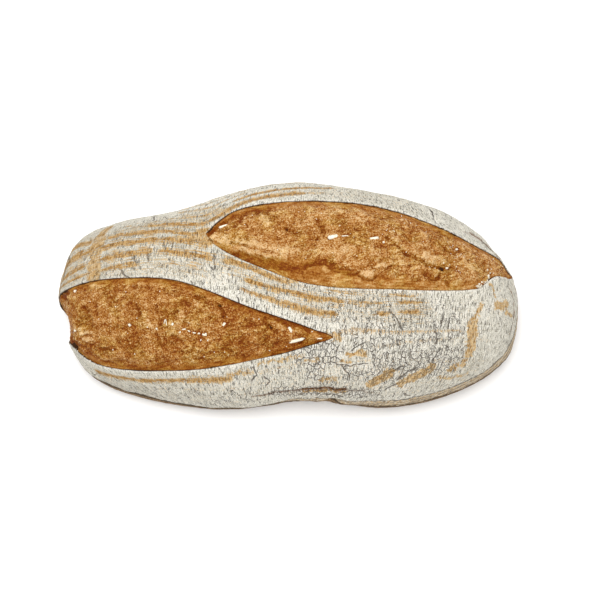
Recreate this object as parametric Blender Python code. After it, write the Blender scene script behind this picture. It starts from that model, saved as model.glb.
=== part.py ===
"""A long sourdough loaf with a floured crust and two scores that have opened in the oven.

Blender 4.5, in metres, +Z up. The origin is under the middle of the loaf, on the plane that it rests on.
+X runs along the loaf towards its broad end and +Y towards its back. The sizes below are in millimetres.

The whole crust, from the crown down to the edge of the base, is laid out flat as a map. A point of the map
lies in the same direction from the crown as on the loaf, as far out as the way to it over the crust.
Both scores are drawn on that map, so they can run over the end of the loaf.
"""

import math

import bmesh
import bpy
import numpy as np
from mathutils import Matrix, Vector, noise

MM = 0.001

# Outline seen from above: the reach from the crown in evenly spaced directions, anticlockwise from +X.
# The directions are those of a circle that is stretched to the plain oval.
PLAIN_HALF_LENGTH = 160.0
PLAIN_HALF_WIDTH = 78.0
REACHES = (
    (152, 147, 138, 120, 93)  # broad end, round its back corner
    + (88, 90, 111, 163, 171)  # back, towards the narrow end
    + (166, 162, 158, 126, 91)  # narrow end, round its front corner
    + (69, 89, 122, 147, 153)  # front, towards the broad end
)
WHOLE_SHAPE_WAVES = 3  # the waves of the outline that reach up to the crown
FINE_WAVE_FADE = 3  # finer waves fade towards the crown with this power of the way to it

# Height and cross-section
CROWN_HEIGHT = 86.0
NARROW_DROP = 16.0  # how much lower the crown line is at the narrow end, and where it starts to fall
NARROW_DROP_START = 40.0
NARROW_DROP_LENGTH = 190.0
BROAD_DROP = 6.0
BROAD_DROP_START = 60.0
BROAD_DROP_LENGTH = 110.0
WIDEST_HEIGHT = 20.0  # height of the line where the sides bulge out furthest
BASE_TUCK = 7.0  # how far the sides pull in again below that line
SIDE_SQUARENESS = 2.3  # superellipse exponents of the dome: 2 is round, more is squarer
END_SQUARENESS = 3.0
SHOULDER_SQUARENESS = 2.1
MAP_SQUARENESS = 2.4
MEAN_REACH = 100.0
PROFILE_STEPS = 400
MAP_STEP = 0.5  # steps over which slopes are measured, on the map and on the square grid
GRID_STEP = 0.01
INVERSE_ROUNDS = 12

# Middle of the bounding box, measured from the crown
MIDDLE = (-8.5, 5.5)

# Mesh of the body
BODY_SEGMENTS = (60, 36)
SHARP_ANGLE = 38.0

# Scores
LIP_DEPTH = 3.0  # drop from the edge of the skin to the bread that has opened beside it
INNER_DEPTH = 0.8
BACK_SHELF = 5.0  # smooth stretched band inside each edge, before the bread rises to the torn middle
FRONT_SHELF = 9.0
SHELF_SLOPE = 4.0
SWELL = 3.2  # how far the opened bread has risen above the plain dome
SWELL_REACH = 15.0
LIP_RISE = 1.4  # how far the skin curls up beside a score
LIP_REACH = 9.0
CUTTER_CLEARANCE = 9.0
CRAGS = ((11.0, 1.5), (5.5, 0.8))  # size and height of the torn lumps, coarse and fine
SHELF_CRAG_SHARE = 0.25

# Where the front score runs over the end of the loaf, the bread is hollow and the swell is gone
HOLLOW_START = -172.0
HOLLOW_FULL = -206.0
HOLLOW_EDGE_DEPTH = 1.2
HOLLOW_DEPTH = 6.0
HOLLOW_REACH = 16.0

# Unevenness of the whole body
LUMP_SIZE = 45.0
LUMP_HEIGHT = 1.2

# Dent low on the front, where two folds of the dough meet
DENT_PLACE = (36.0, -100.0)
DENT_RADIUS = 9.0
DENT_DEPTH = 3.0

# Edges of the scores on the crust map, from the narrow end to the broad end
BACK_SCORE = {
    "back_edge": (
        (-62, 35), (-46, 53), (-14, 64), (20, 64.5), (67, 58), (103, 48), (130, 38), (152, 32), (182, 19),
    ),
    "front_edge": (
        (-62, 34), (-40, 19), (-14, 6), (19, -3), (62, -4.5), (103, -3.5), (134, 2), (160, 12), (182, 18),
    ),
}
FRONT_SCORE = {
    "back_edge": (
        (-252, -17), (-228, -1), (-210, 4), (-184, 6), (-154, 9), (-103, 8), (-56, -6.5), (-29, -18), (17, -35),
    ),
    "front_edge": (
        (-252, -19), (-228, -35), (-210, -39), (-184, -44), (-154, -56), (-122, -59.5), (-80, -58), (-9, -47),
        (17, -36),
    ),
}
SCORES = (BACK_SCORE, FRONT_SCORE)
SCORE_SEGMENTS = (60, 18)

# Single blisters and pits of the opened bread: place on the map, radius, height
BLISTER_FALL = 1.5
BLISTERS = (
    ((32, 11), 4.5, 1.6),
    ((45, 5), 4.0, 1.3),
    ((17, 9), 4.0, 1.2),
    ((54, 11), 5.0, 1.1),
    ((94, 17), 6.0, 2.2),
    ((90, 4), 5.0, -2.0),
    ((101, 11), 4.5, -2.4),
    ((-104, -11), 6.0, 1.8),
    ((-97, -14), 4.0, -1.8),
    ((-83, -20), 5.5, 1.4),
    ((-114, -16), 4.0, -1.8),
    ((-115, -36), 4.0, -1.8),
)

# Flakes of flour that stick to the opened bread: place on the map, length, width, turn in degrees
FLAKES = (
    ((53, 41), 9.0, 3.2, 14),
    ((72, 36), 6.5, 2.6, 12),
    ((131, 24), 5.0, 3.0, -20),
    ((-66, -38), 8.5, 2.4, -12),
    ((-85, -24), 5.5, 2.2, 70),
    ((-10, -40), 8.0, 2.2, 18),
    ((-13, -34), 5.0, 2.0, -60),
    ((-52, -27), 5.0, 2.2, 50),
)
FLAKE_HEIGHT = 1.3
FLAKE_SUNK = 0.5
FLAKE_TOP_SHARE = 0.76
FLAKE_SIDES = 7


def clear_scene():
    """Removes whatever the file already holds."""
    for obj in list(bpy.data.objects):
        bpy.data.objects.remove(obj)


def smooth_step(t):
    """0 before t = 0, 1 after t = 1, and smooth between."""
    t = np.clip(t, 0.0, 1.0)
    return t * t * (3.0 - 2.0 * t)


def reach_factor(angle, highest):
    """Reach over that of the plain oval, as a sum of waves round the outline up to the given one."""
    count = len(REACHES)
    turns = 2.0 * math.pi * np.arange(count) / count
    plain = np.hypot(PLAIN_HALF_LENGTH * np.cos(turns), PLAIN_HALF_WIDTH * np.sin(turns))
    waves = np.fft.rfft(np.array(REACHES) / plain) / count
    total = np.full(np.shape(angle), waves[0].real)
    for order in range(1, highest + 1):
        weight = 1.0 if 2 * order == count else 2.0
        wave = waves[order]
        total = total + weight * (wave.real * np.cos(order * angle) - wave.imag * np.sin(order * angle))
    return total


def curve_through(points, x):
    """Smooth curve y(x) through the points, as cubic pieces that share their slopes."""
    px, py = np.array(points, float).T
    slopes = np.gradient(py, px)
    piece = np.clip(np.searchsorted(px, x) - 1, 0, len(px) - 2)
    span = px[piece + 1] - px[piece]
    t = np.clip((x - px[piece]) / span, 0.0, 1.0)
    start = (1 + 2 * t) * (1 - t) ** 2 * py[piece] + t * (1 - t) ** 2 * span * slopes[piece]
    end = t * t * (3 - 2 * t) * py[piece + 1] - t * t * (1 - t) * span * slopes[piece + 1]
    return start + end


def profile():
    """The cross-section from crown to base: its length in steps, the turn reached, and its whole length.

    The whole length is in mean reaches. The turn runs from 0 at the crown to 1 at the widest line, and on to
    2 at the base.
    """
    turn = np.linspace(0.0, 2.0, 2 * PROFILE_STEPS + 1)
    dome = 0.5 * math.pi * np.clip(turn, 0.0, 1.0)
    tuck = 0.5 * math.pi * np.clip(turn - 1.0, 0.0, 1.0)
    out = MEAN_REACH * np.sin(dome) ** (2 / MAP_SQUARENESS) - BASE_TUCK * (1 - np.cos(tuck))
    rise = CROWN_HEIGHT - WIDEST_HEIGHT
    up = rise * np.maximum(np.cos(dome), 0.0) ** (2 / SHOULDER_SQUARENESS) - WIDEST_HEIGHT * np.sin(tuck)
    length = np.concatenate(([0.0], np.cumsum(np.hypot(np.diff(out), np.diff(up)))))
    return length / length[-1], turn, length[-1] / MEAN_REACH


PROFILE_LENGTH, PROFILE_TURN, MAP_STRETCH = profile()


def outline_factor(share, angle):
    """Reach factor at a share of the way from the crown to the edge of the base."""
    whole = reach_factor(angle, WHOLE_SHAPE_WAVES)
    fine = reach_factor(angle, len(REACHES) // 2) - whole
    return whole + fine * share**FINE_WAVE_FADE


def crown_height(x):
    """Height of the crown line along the loaf."""
    narrow = NARROW_DROP * smooth_step((NARROW_DROP_START - x) / NARROW_DROP_LENGTH)
    broad = BROAD_DROP * smooth_step((x - BROAD_DROP_START) / BROAD_DROP_LENGTH)
    return CROWN_HEIGHT - narrow - broad


def plain_crust(share, angle):
    """Points of the plain dome, share 0 being the crown and 1 the edge of the base."""
    factor = outline_factor(share, angle)
    across = PLAIN_HALF_LENGTH * factor * np.cos(angle)
    along = PLAIN_HALF_WIDTH * factor * np.sin(angle)
    turn = np.interp(share, PROFILE_LENGTH, PROFILE_TURN)
    dome = 0.5 * math.pi * np.clip(turn, 0.0, 1.0)
    tuck = 0.5 * math.pi * np.clip(turn - 1.0, 0.0, 1.0)
    out = np.sin(dome) ** (2 / MAP_SQUARENESS) - BASE_TUCK * (1 - np.cos(tuck)) / np.hypot(across, along)
    x, y = across * out, along * out
    squareness = SIDE_SQUARENESS + (END_SQUARENESS - SIDE_SQUARENESS) * np.cos(angle) ** 2
    bulge = np.maximum(1 - np.clip(out, 0.0, 1.0) ** squareness, 0.0) ** (1 / SHOULDER_SQUARENESS)
    dome_z = WIDEST_HEIGHT + (crown_height(x) - WIDEST_HEIGHT) * bulge
    z = np.where(turn <= 1.0, dome_z, WIDEST_HEIGHT * (1 - np.sin(tuck)))
    return np.stack((x, y, z), axis=-1)


def map_of_disc(share, angle):
    """Place on the crust map, in mm, of a point of the disc."""
    factor = outline_factor(share, angle) * share * MAP_STRETCH
    return PLAIN_HALF_LENGTH * factor * np.cos(angle), PLAIN_HALF_WIDTH * factor * np.sin(angle)


def disc_of_map(p, q):
    """The inverse of map_of_disc, by a few rounds of substitution."""
    angle = np.arctan2(q / PLAIN_HALF_WIDTH, p / PLAIN_HALF_LENGTH)
    reach = np.hypot(p / PLAIN_HALF_LENGTH, q / PLAIN_HALF_WIDTH) / MAP_STRETCH
    share = reach
    for _ in range(INVERSE_ROUNDS):
        share = np.minimum(reach / outline_factor(share, angle), 1.0)
    return share, angle


def disc_of_square(u, v):
    """A square grid bent to a disc with no pole, so that its edge follows the edge of the base."""
    du = u * np.sqrt(1 - 0.5 * v * v)
    dv = v * np.sqrt(1 - 0.5 * u * u)
    return np.hypot(du, dv), np.arctan2(dv, du)


def points_and_normals(locate, a, b, step, limit=np.inf):
    """Points and outward normals of the plain dome, where locate turns a and b into places on the disc."""
    points = plain_crust(*locate(a, b))
    a_low, a_high = np.maximum(a - step, -limit), np.minimum(a + step, limit)
    b_low, b_high = np.maximum(b - step, -limit), np.minimum(b + step, limit)
    along = plain_crust(*locate(a_high, b)) - plain_crust(*locate(a_low, b))
    across = plain_crust(*locate(a, b_high)) - plain_crust(*locate(a, b_low))
    normals = np.cross(along, across)
    return points, normals / np.linalg.norm(normals, axis=-1, keepdims=True)


def depth_inside(score, p, q):
    """Distances inside the back and the front edge of a score, in mm, negative outside it."""
    first, last = score["back_edge"][0][0], score["back_edge"][-1][0]
    held = np.clip(p, first, last)
    past = np.abs(p - held)
    back = curve_through(score["back_edge"], held) - q
    front = q - curve_through(score["front_edge"], held)
    return tuple(np.where(past > 0, np.minimum(side, 0) - past, side) for side in (back, front))


def bumps(points, size, height):
    """Even, repeatable lumps of a given size, from gradient noise at the points."""
    return np.array([height * noise.noise(Vector(point) / size) for point in points])


def hollow_share(p):
    """0 along the loaf, rising to 1 where the front score runs over its end."""
    return smooth_step((HOLLOW_START - p) / (HOLLOW_START - HOLLOW_FULL))


def body_rise(p, q, points):
    """How far the body stands above the plain dome: lumps, swollen scores, curled lips and the dent."""
    rise = bumps(points, LUMP_SIZE, LUMP_HEIGHT)
    for score in SCORES:
        inside = np.minimum(*depth_inside(score, p, q))
        curl = LIP_RISE * smooth_step(1 + inside / LIP_REACH)
        rise = rise + (curl + SWELL * smooth_step(inside / SWELL_REACH)) * (1 - hollow_share(p))
    dent = np.hypot(p - DENT_PLACE[0], q - DENT_PLACE[1]) / DENT_RADIUS
    foot = np.clip(points[:, 2] / WIDEST_HEIGHT, 0.0, 1.0)
    return (rise - DENT_DEPTH * np.exp(-dent * dent)) * foot


def opened_rise(score, p, q, points):
    """How far the bread that shows in a score stands above the plain dome."""
    back, front = depth_inside(score, p, q)
    inside = np.minimum(back, front)
    torn = smooth_step((back - BACK_SHELF) / SHELF_SLOPE) * smooth_step((front - FRONT_SHELF) / SHELF_SLOPE)
    crags = sum(bumps(points, size, height) for size, height in CRAGS)
    crags = crags * (SHELF_CRAG_SHARE + (1 - SHELF_CRAG_SHARE) * torn)
    for place, radius, height in BLISTERS:
        reach = np.hypot(p - place[0], q - place[1]) / radius
        crags = crags + height * np.exp(-BLISTER_FALL * reach * reach)
    along = body_rise(p, q, points) - LIP_DEPTH + (LIP_DEPTH - INNER_DEPTH) * torn
    end = -HOLLOW_EDGE_DEPTH - (HOLLOW_DEPTH - HOLLOW_EDGE_DEPTH) * smooth_step(inside / HOLLOW_REACH)
    over_end = hollow_share(p)
    return along + (end - along) * over_end + crags


def place_vertices(vertices, points):
    """Moves vertices to points in mm, measured from the crown."""
    for vertex, point in zip(vertices, points):
        vertex.co = MM * (Vector(point) - Vector((*MIDDLE, 0.0)))


def make_body():
    """The whole loaf as one closed dome on a flat base, before it is scored."""
    mesh = bmesh.new()
    bmesh.ops.create_grid(mesh, x_segments=BODY_SEGMENTS[0], y_segments=BODY_SEGMENTS[1], size=1.0)
    u, v, _ = np.array([vertex.co for vertex in mesh.verts]).T
    points, normals = points_and_normals(disc_of_square, u, v, GRID_STEP, limit=1.0)
    p, q = map_of_disc(*disc_of_square(u, v))
    place_vertices(mesh.verts, points + normals * body_rise(p, q, points)[:, None])
    rim = [edge for edge in mesh.edges if edge.is_boundary]
    for vertex in {vertex for edge in rim for vertex in edge.verts}:
        vertex.co.z = 0.0
    bmesh.ops.edgeloop_fill(mesh, edges=rim)
    bmesh.ops.recalc_face_normals(mesh, faces=mesh.faces)
    return new_object("loaf", mesh)


def make_cutter(name, score):
    """A closed solid whose underside is the bread that shows in a score."""
    mesh = bmesh.new()
    bmesh.ops.create_grid(mesh, x_segments=SCORE_SEGMENTS[0], y_segments=SCORE_SEGMENTS[1], size=1.0)
    u, v, _ = np.array([vertex.co for vertex in mesh.verts]).T
    first, last = score["back_edge"][0][0], score["back_edge"][-1][0]
    p = first + (last - first) * 0.5 * (1 + np.sin(0.5 * math.pi * u))
    back, front = curve_through(score["back_edge"], p), curve_through(score["front_edge"], p)
    q = front + (back - front) * 0.5 * (1 + v)
    points, normals = points_and_normals(disc_of_map, p, q, MAP_STEP)
    place_vertices(mesh.verts, points + normals * opened_rise(score, p, q, points)[:, None])
    outward = {tuple(vertex.co): Vector(normal) for vertex, normal in zip(mesh.verts, normals)}
    lid = bmesh.ops.extrude_face_region(mesh, geom=mesh.faces[:])
    for vertex in [item for item in lid["geom"] if isinstance(item, bmesh.types.BMVert)]:
        vertex.co += MM * CUTTER_CLEARANCE * outward[tuple(vertex.co)]
    bmesh.ops.recalc_face_normals(mesh, faces=mesh.faces)
    return new_object(name, mesh)


def make_flake(name, place, length, width, turn):
    """A thin many-sided chip that lies on the opened bread and is sunk a little into it."""
    p, q = np.array([float(place[0])]), np.array([float(place[1])])
    score = max(SCORES, key=lambda candidate: np.minimum(*depth_inside(candidate, p, q))[0])
    points, normals = points_and_normals(disc_of_map, p, q, MAP_STEP)
    points = points + normals * opened_rise(score, p, q, points)[:, None]
    wide, narrow = (0.5 * MM * share for share in (1.0, FLAKE_TOP_SHARE))
    mesh = bmesh.new()
    bmesh.ops.create_cone(
        mesh, cap_ends=True, segments=FLAKE_SIDES, radius1=wide, radius2=narrow, depth=FLAKE_HEIGHT * MM
    )
    bmesh.ops.scale(mesh, verts=mesh.verts, vec=(length, width, 1.0))
    upright = Vector(normals[0]).to_track_quat("Z", "Y").to_matrix().to_4x4()
    lift = Matrix.Translation((0.0, 0.0, MM * (0.5 * FLAKE_HEIGHT - FLAKE_SUNK)))
    turned = Matrix.Rotation(math.radians(turn), 4, "Z")
    at = Matrix.Translation(MM * (Vector(points[0]) - Vector((*MIDDLE, 0.0))))
    bmesh.ops.transform(mesh, verts=mesh.verts, matrix=at @ upright @ turned @ lift)
    return new_object(name, mesh)


def new_object(name, mesh):
    """Turns a bmesh into an object in the scene."""
    data = bpy.data.meshes.new(name)
    mesh.to_mesh(data)
    mesh.free()
    obj = bpy.data.objects.new(name, data)
    bpy.context.scene.collection.objects.link(obj)
    return obj


def apply_boolean(body, operation, solver, tools):
    """Cuts or joins a collection of objects into the body, then removes them."""
    group = bpy.data.collections.new(operation.lower())
    bpy.context.scene.collection.children.link(group)
    for tool in tools:
        bpy.context.scene.collection.objects.unlink(tool)
        group.objects.link(tool)
    modifier = body.modifiers.new(operation.title(), "BOOLEAN")
    modifier.operation = operation
    modifier.operand_type = "COLLECTION"
    modifier.collection = group
    modifier.solver = solver
    bpy.context.view_layer.update()
    done = bpy.data.meshes.new_from_object(body.evaluated_get(bpy.context.evaluated_depsgraph_get()))
    body.modifiers.clear()
    body.data = done
    for tool in tools:
        bpy.data.objects.remove(tool)
    bpy.data.collections.remove(group)


def crust_material():
    """Dull baked crust under a coat of flour."""
    material = bpy.data.materials.new("floured_crust")
    material.use_nodes = True
    shader = material.node_tree.nodes["Principled BSDF"]
    shader.inputs["Base Color"].default_value = (0.52, 0.36, 0.20, 1.0)
    shader.inputs["Roughness"].default_value = 0.85
    shader.inputs["Metallic"].default_value = 0.0
    return material


def main():
    """Builds the loaf: the domed body, the two scores cut into it, and the flakes joined on."""
    clear_scene()
    loaf = make_body()
    cutters = [make_cutter(f"score_cutter_{number}", score) for number, score in enumerate(SCORES)]
    apply_boolean(loaf, "DIFFERENCE", "EXACT", cutters)
    flakes = [make_flake(f"flake_{number}", *flake) for number, flake in enumerate(FLAKES)]
    apply_boolean(loaf, "UNION", "MANIFOLD", flakes)
    loaf.data.materials.clear()
    loaf.data.materials.append(crust_material())
    loaf.data.shade_smooth()
    loaf.data.set_sharp_from_angle(angle=math.radians(SHARP_ANGLE))


main()
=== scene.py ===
"""The looks of a long sourdough loaf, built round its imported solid: skin, opened bread, flour and light.

The crust is laid out flat as a map, as on the solid. A place (p, q) on it lies in its own direction from the
crown, as far out as the way to it over the crust. p grows towards the broad end and q towards the back.
Sizes are in millimetres unless a name or a comment says otherwise.
"""

import logging
import math
from dataclasses import dataclass
from enum import Enum
from typing import Callable, Iterable, Sequence

import bmesh
import bpy
import numpy as np
from mathutils import Matrix, Vector, noise


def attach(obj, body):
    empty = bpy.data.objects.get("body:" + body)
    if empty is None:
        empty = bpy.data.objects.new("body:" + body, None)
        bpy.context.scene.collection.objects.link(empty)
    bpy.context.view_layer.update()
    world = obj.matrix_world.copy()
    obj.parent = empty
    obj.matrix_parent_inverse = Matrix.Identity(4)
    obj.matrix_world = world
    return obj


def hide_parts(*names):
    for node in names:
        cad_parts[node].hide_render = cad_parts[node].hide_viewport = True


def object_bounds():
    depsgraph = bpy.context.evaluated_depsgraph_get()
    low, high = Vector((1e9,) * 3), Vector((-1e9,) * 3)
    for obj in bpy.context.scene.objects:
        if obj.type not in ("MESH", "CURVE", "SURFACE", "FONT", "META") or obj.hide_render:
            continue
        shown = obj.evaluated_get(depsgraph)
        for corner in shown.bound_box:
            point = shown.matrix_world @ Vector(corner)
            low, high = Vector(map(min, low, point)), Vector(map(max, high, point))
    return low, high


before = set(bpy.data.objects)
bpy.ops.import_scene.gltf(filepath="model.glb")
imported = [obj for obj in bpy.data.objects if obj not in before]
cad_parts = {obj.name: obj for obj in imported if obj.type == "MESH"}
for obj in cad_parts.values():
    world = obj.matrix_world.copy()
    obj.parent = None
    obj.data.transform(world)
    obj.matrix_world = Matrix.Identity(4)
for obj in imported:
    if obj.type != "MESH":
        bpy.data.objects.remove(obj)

LOG = logging.getLogger("loaf")
MM = 0.001
NODE = "loaf"
BODY = "root"
FAR = 60.0  # stands for any distance too long to matter
ELSEWHERE = 17.0  # moves noise along, so that it isn't the same again
BATCH = 6000  # places measured at once, to save memory
SOLID_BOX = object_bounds()
SOFT = {"interpolation_type": "SMOOTHSTEP"}

Array = np.ndarray
Socket = bpy.types.NodeSocket
Input = Socket | float | Sequence[float]
Place = tuple[float, float]
Size = tuple[float, float, float]
Materials = Sequence[bpy.types.Material]


class Sheet(Enum):
    """The two layers of a thick sheet, by their height while it is still a flat grid."""

    TOP = 0.0
    UNDER = -1.0


def smooth_step(t: Array) -> Array:
    """0 before t = 0, 1 after t = 1, and smooth between."""
    t = np.clip(t, 0.0, 1.0)
    return t * t * (3.0 - 2.0 * t)


def curve_through(points: Sequence[Place], x: Array) -> Array:
    """Smooth curve y(x) through points, as cubic pieces that share their slopes.

    Args:
        points: Points of the curve, in order of x.
        x: Where it is read; it is held level past both ends.

    Returns:
        The heights of the curve.
    """
    px, py = np.array(points, float).T
    slopes = np.gradient(py, px)
    piece = np.clip(np.searchsorted(px, x) - 1, 0, len(px) - 2)
    span = px[piece + 1] - px[piece]
    t = np.clip((x - px[piece]) / span, 0.0, 1.0)
    start = (1 + 2 * t) * (1 - t) ** 2 * py[piece] + t * (1 - t) ** 2 * span * slopes[piece]
    end = t * t * (3 - 2 * t) * py[piece + 1] - t * t * (1 - t) * span * slopes[piece + 1]
    return start + end


def grain(points: Array, size: float, stretch: Sequence[float] = (1.0, 1.0, 1.0)) -> Array:
    """Repeatable noise between about -1 and 1.

    Args:
        points: Places in space, one row each.
        size: Size of one lump.
        stretch: How much longer a lump is along each axis.

    Returns:
        One value for each row.
    """
    scaled = points / (size * np.array(stretch))
    return np.array([noise.noise(Vector(row)) for row in scaled])


def bubbles(points: Array, size: float) -> Array:
    """Round lumps side by side: 1 at the middle of each, and near 0 in the creases between them."""
    nearest = np.array([noise.voronoi(Vector(row))[0][:2] for row in points / size])
    return np.clip(nearest[:, 1] - nearest[:, 0], 0.0, 1.0)


@dataclass(frozen=True)
class Stroke:
    """A soft-edged brush stroke on the crust map."""

    path: tuple[Place, ...]
    half_width: float
    strength: float = 1.0

    def measure(self, p: Array, q: Array) -> tuple[Array, Array]:
        """Distance to the stroke's path, and which side of it a place is on.

        Args:
            p: Places on the map, along the loaf.
            q: Places on the map, across it.

        Returns:
            The distance, and the signed distance to the nearest stretch's own line.
        """
        best = np.full(np.shape(p), FAR)
        side = np.full(np.shape(p), FAR)
        for (ax, ay), (bx, by) in zip(self.path, self.path[1:]):
            run, rise = bx - ax, by - ay
            length = math.hypot(run, rise)
            t = np.clip(((p - ax) * run + (q - ay) * rise) / length**2, 0.0, 1.0)
            away = np.hypot(p - ax - t * run, q - ay - t * rise)
            nearer = away < best
            best = np.where(nearer, away, best)
            side = np.where(nearer, ((q - ay) * run - (p - ax) * rise) / length, side)
        return best, side


def brushed(strokes: Iterable[Stroke], p: Array, q: Array, softness: float = 1.0) -> Array:
    """How strongly strokes cover places on the map.

    Args:
        strokes: The strokes.
        p: Places on the map, along the loaf.
        q: Places on the map, across it.
        softness: Width of a stroke's faded edge over its half width.

    Returns:
        0 to the strongest stroke's strength.
    """
    cover = np.zeros(np.shape(p))
    for stroke in strokes:
        away, _ = stroke.measure(p, q)
        faded = 1 - smooth_step((away / stroke.half_width - 1) / softness + 0.5)
        cover = np.maximum(cover, stroke.strength * faded)
    return cover


def strokes(half_width: float, strength: float, *paths: tuple[Place, ...]) -> tuple[Stroke, ...]:
    """Strokes of one width and strength."""
    return tuple(Stroke(path, half_width, strength) for path in paths)


@dataclass(frozen=True)
class CrustShape:
    """The plain dome of the loaf, without its scores."""

    half_length: float = 160.0
    half_width: float = 78.0
    reaches: tuple[int, ...] = (
        152, 147, 138, 120, 93, 88, 90, 111, 163, 171, 166, 162, 158, 126, 91, 69, 89, 122, 147, 153,
    )
    whole_shape_waves: int = 3
    fine_wave_fade: int = 3
    crown_height: float = 86.0
    narrow_drop: tuple[float, float, float] = (16.0, 40.0, 190.0)
    broad_drop: tuple[float, float, float] = (6.0, 60.0, 110.0)
    widest_height: float = 20.0
    base_tuck: float = 7.0
    side_squareness: float = 2.3
    end_squareness: float = 3.0
    shoulder_squareness: float = 2.1
    map_squareness: float = 2.4
    mean_reach: float = 100.0
    profile_points: int = 801
    rounds: int = 12  # of substitution that find a place of the map on the disc
    map_step: float = 0.5  # over which slopes are measured
    grid_step: float = 0.01

    def profile(self) -> tuple[Array, Array, float]:
        """The cross-section from crown to base.

        Returns:
            Its length in steps, the turn reached at each (0 crown, 1 widest, 2 base), and its whole length in
            mean reaches.
        """
        turn = np.linspace(0.0, 2.0, self.profile_points)
        dome, tuck = self.turns(turn)
        out = self.mean_reach * np.sin(dome) ** (2 / self.map_squareness)
        out = out - self.base_tuck * (1 - np.cos(tuck))
        rise = self.crown_height - self.widest_height
        up = rise * np.maximum(np.cos(dome), 0.0) ** (2 / self.shoulder_squareness)
        up = up - self.widest_height * np.sin(tuck)
        length = np.concatenate(([0.0], np.cumsum(np.hypot(np.diff(out), np.diff(up)))))
        return length / length[-1], turn, float(length[-1]) / self.mean_reach

    def turns(self, turn: Array) -> tuple[Array, Array]:
        """The quarter turns of the dome and of the tuck under it."""
        return 0.5 * math.pi * np.clip(turn, 0.0, 1.0), 0.5 * math.pi * np.clip(turn - 1.0, 0.0, 1.0)

    def reach_factors(self, angle: Array) -> tuple[Array, Array]:
        """Reach over that of the plain oval.

        Args:
            angle: Directions from the crown, in radians of the stretched circle.

        Returns:
            The broad waves, and the finer ones that fade towards the crown.
        """
        count = len(self.reaches)
        turns = 2.0 * math.pi * np.arange(count) / count
        plain = np.hypot(self.half_length * np.cos(turns), self.half_width * np.sin(turns))
        waves = np.fft.rfft(np.array(self.reaches) / plain) / count
        sums = [np.full(np.shape(angle), waves[0].real), np.zeros(np.shape(angle))]
        for order in range(1, count // 2 + 1):
            weight = 1.0 if 2 * order == count else 2.0
            wave = waves[order]
            part = weight * (wave.real * np.cos(order * angle) - wave.imag * np.sin(order * angle))
            sums[order > self.whole_shape_waves] += part
        return sums[0], sums[1]

    def crown_line(self, x: Array) -> Array:
        """Height of the crown along the loaf.

        Args:
            x: Places along it.

        Returns:
            The height at each.
        """
        narrow, broad = self.narrow_drop, self.broad_drop
        drop = narrow[0] * smooth_step((narrow[1] - x) / narrow[2])
        return self.crown_height - drop - broad[0] * smooth_step((x - broad[1]) / broad[2])

    def points(self, share: Array, angle: Array) -> Array:
        """Points of the dome.

        Args:
            share: 0 at the crown to 1 at the edge of the base.
            angle: Directions from the crown.

        Returns:
            Points, one row each, measured from the crown's foot.
        """
        lengths, turns, _ = self.profile()
        whole, fine = self.reach_factors(angle)
        factor = whole + fine * share**self.fine_wave_fade
        along, across = self.half_length * factor * np.cos(angle), self.half_width * factor * np.sin(angle)
        turn = np.interp(share, lengths, turns)
        dome, tuck = self.turns(turn)
        out = np.sin(dome) ** (2 / self.map_squareness)
        out = out - self.base_tuck * (1 - np.cos(tuck)) / np.hypot(along, across)
        x, y = along * out, across * out
        squareness = self.side_squareness + (self.end_squareness - self.side_squareness) * np.cos(angle) ** 2
        bulge = np.maximum(1 - np.clip(out, 0.0, 1.0) ** squareness, 0.0) ** (1 / self.shoulder_squareness)
        dome_z = self.widest_height + (self.crown_line(x) - self.widest_height) * bulge
        tuck_z = self.widest_height * (1 - np.sin(tuck))
        return np.stack((x, y, np.where(turn <= 1.0, dome_z, tuck_z)), axis=-1)

    def place_of_disc(self, share: Array, angle: Array) -> tuple[Array, Array]:
        """Places on the map of points of the disc.

        Args:
            share: 0 at the crown to 1 at the edge of the base.
            angle: Directions from the crown.

        Returns:
            p and q.
        """
        whole, fine = self.reach_factors(angle)
        factor = (whole + fine * share**self.fine_wave_fade) * share * self.profile()[2]
        return self.half_length * factor * np.cos(angle), self.half_width * factor * np.sin(angle)

    def disc_of_place(self, p: Array, q: Array) -> tuple[Array, Array]:
        """The inverse of place_of_disc, by rounds of substitution.

        Args:
            p: Places on the map, along the loaf.
            q: Places on the map, across it.

        Returns:
            Share and angle.
        """
        angle = np.arctan2(q / self.half_width, p / self.half_length)
        reach = np.hypot(p / self.half_length, q / self.half_width) / self.profile()[2]
        whole, fine = self.reach_factors(angle)
        share = reach
        for _ in range(self.rounds):
            share = np.minimum(reach / (whole + fine * share**self.fine_wave_fade), 1.0)
        return share, angle

    def disc_of_grid(self, u: Array, v: Array) -> tuple[Array, Array]:
        """A square grid bent to a disc with no pole, so that its edge follows the edge of the base."""
        du, dv = u * np.sqrt(1 - 0.5 * v * v), v * np.sqrt(1 - 0.5 * u * u)
        return np.hypot(du, dv), np.arctan2(dv, du)

    def surface(
        self,
        locate: Callable[[Array, Array], tuple[Array, Array]],
        a: Array,
        b: Array,
        step: float,
        limit: float = np.inf,
    ) -> tuple[Array, Array]:
        """Points and outward normals of the dome.

        Args:
            locate: disc_of_place or disc_of_grid.
            a: First coordinates that it takes.
            b: Second coordinates.
            step: Step over which slopes are measured.
            limit: Largest coordinate there is.

        Returns:
            Points and unit normals, one row each.
        """
        a_low, a_high = np.maximum(a - step, -limit), np.minimum(a + step, limit)
        b_low, b_high = np.maximum(b - step, -limit), np.minimum(b + step, limit)
        along = self.points(*locate(a_high, b)) - self.points(*locate(a_low, b))
        across = self.points(*locate(a, b_high)) - self.points(*locate(a, b_low))
        normals = np.cross(along, across)
        return self.points(*locate(a, b)), normals / np.linalg.norm(normals, axis=-1, keepdims=True)

    def on_map(self, p: Array, q: Array) -> tuple[Array, Array]:
        """Points and normals at places on the map."""
        return self.surface(self.disc_of_place, p, q, self.map_step)

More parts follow.
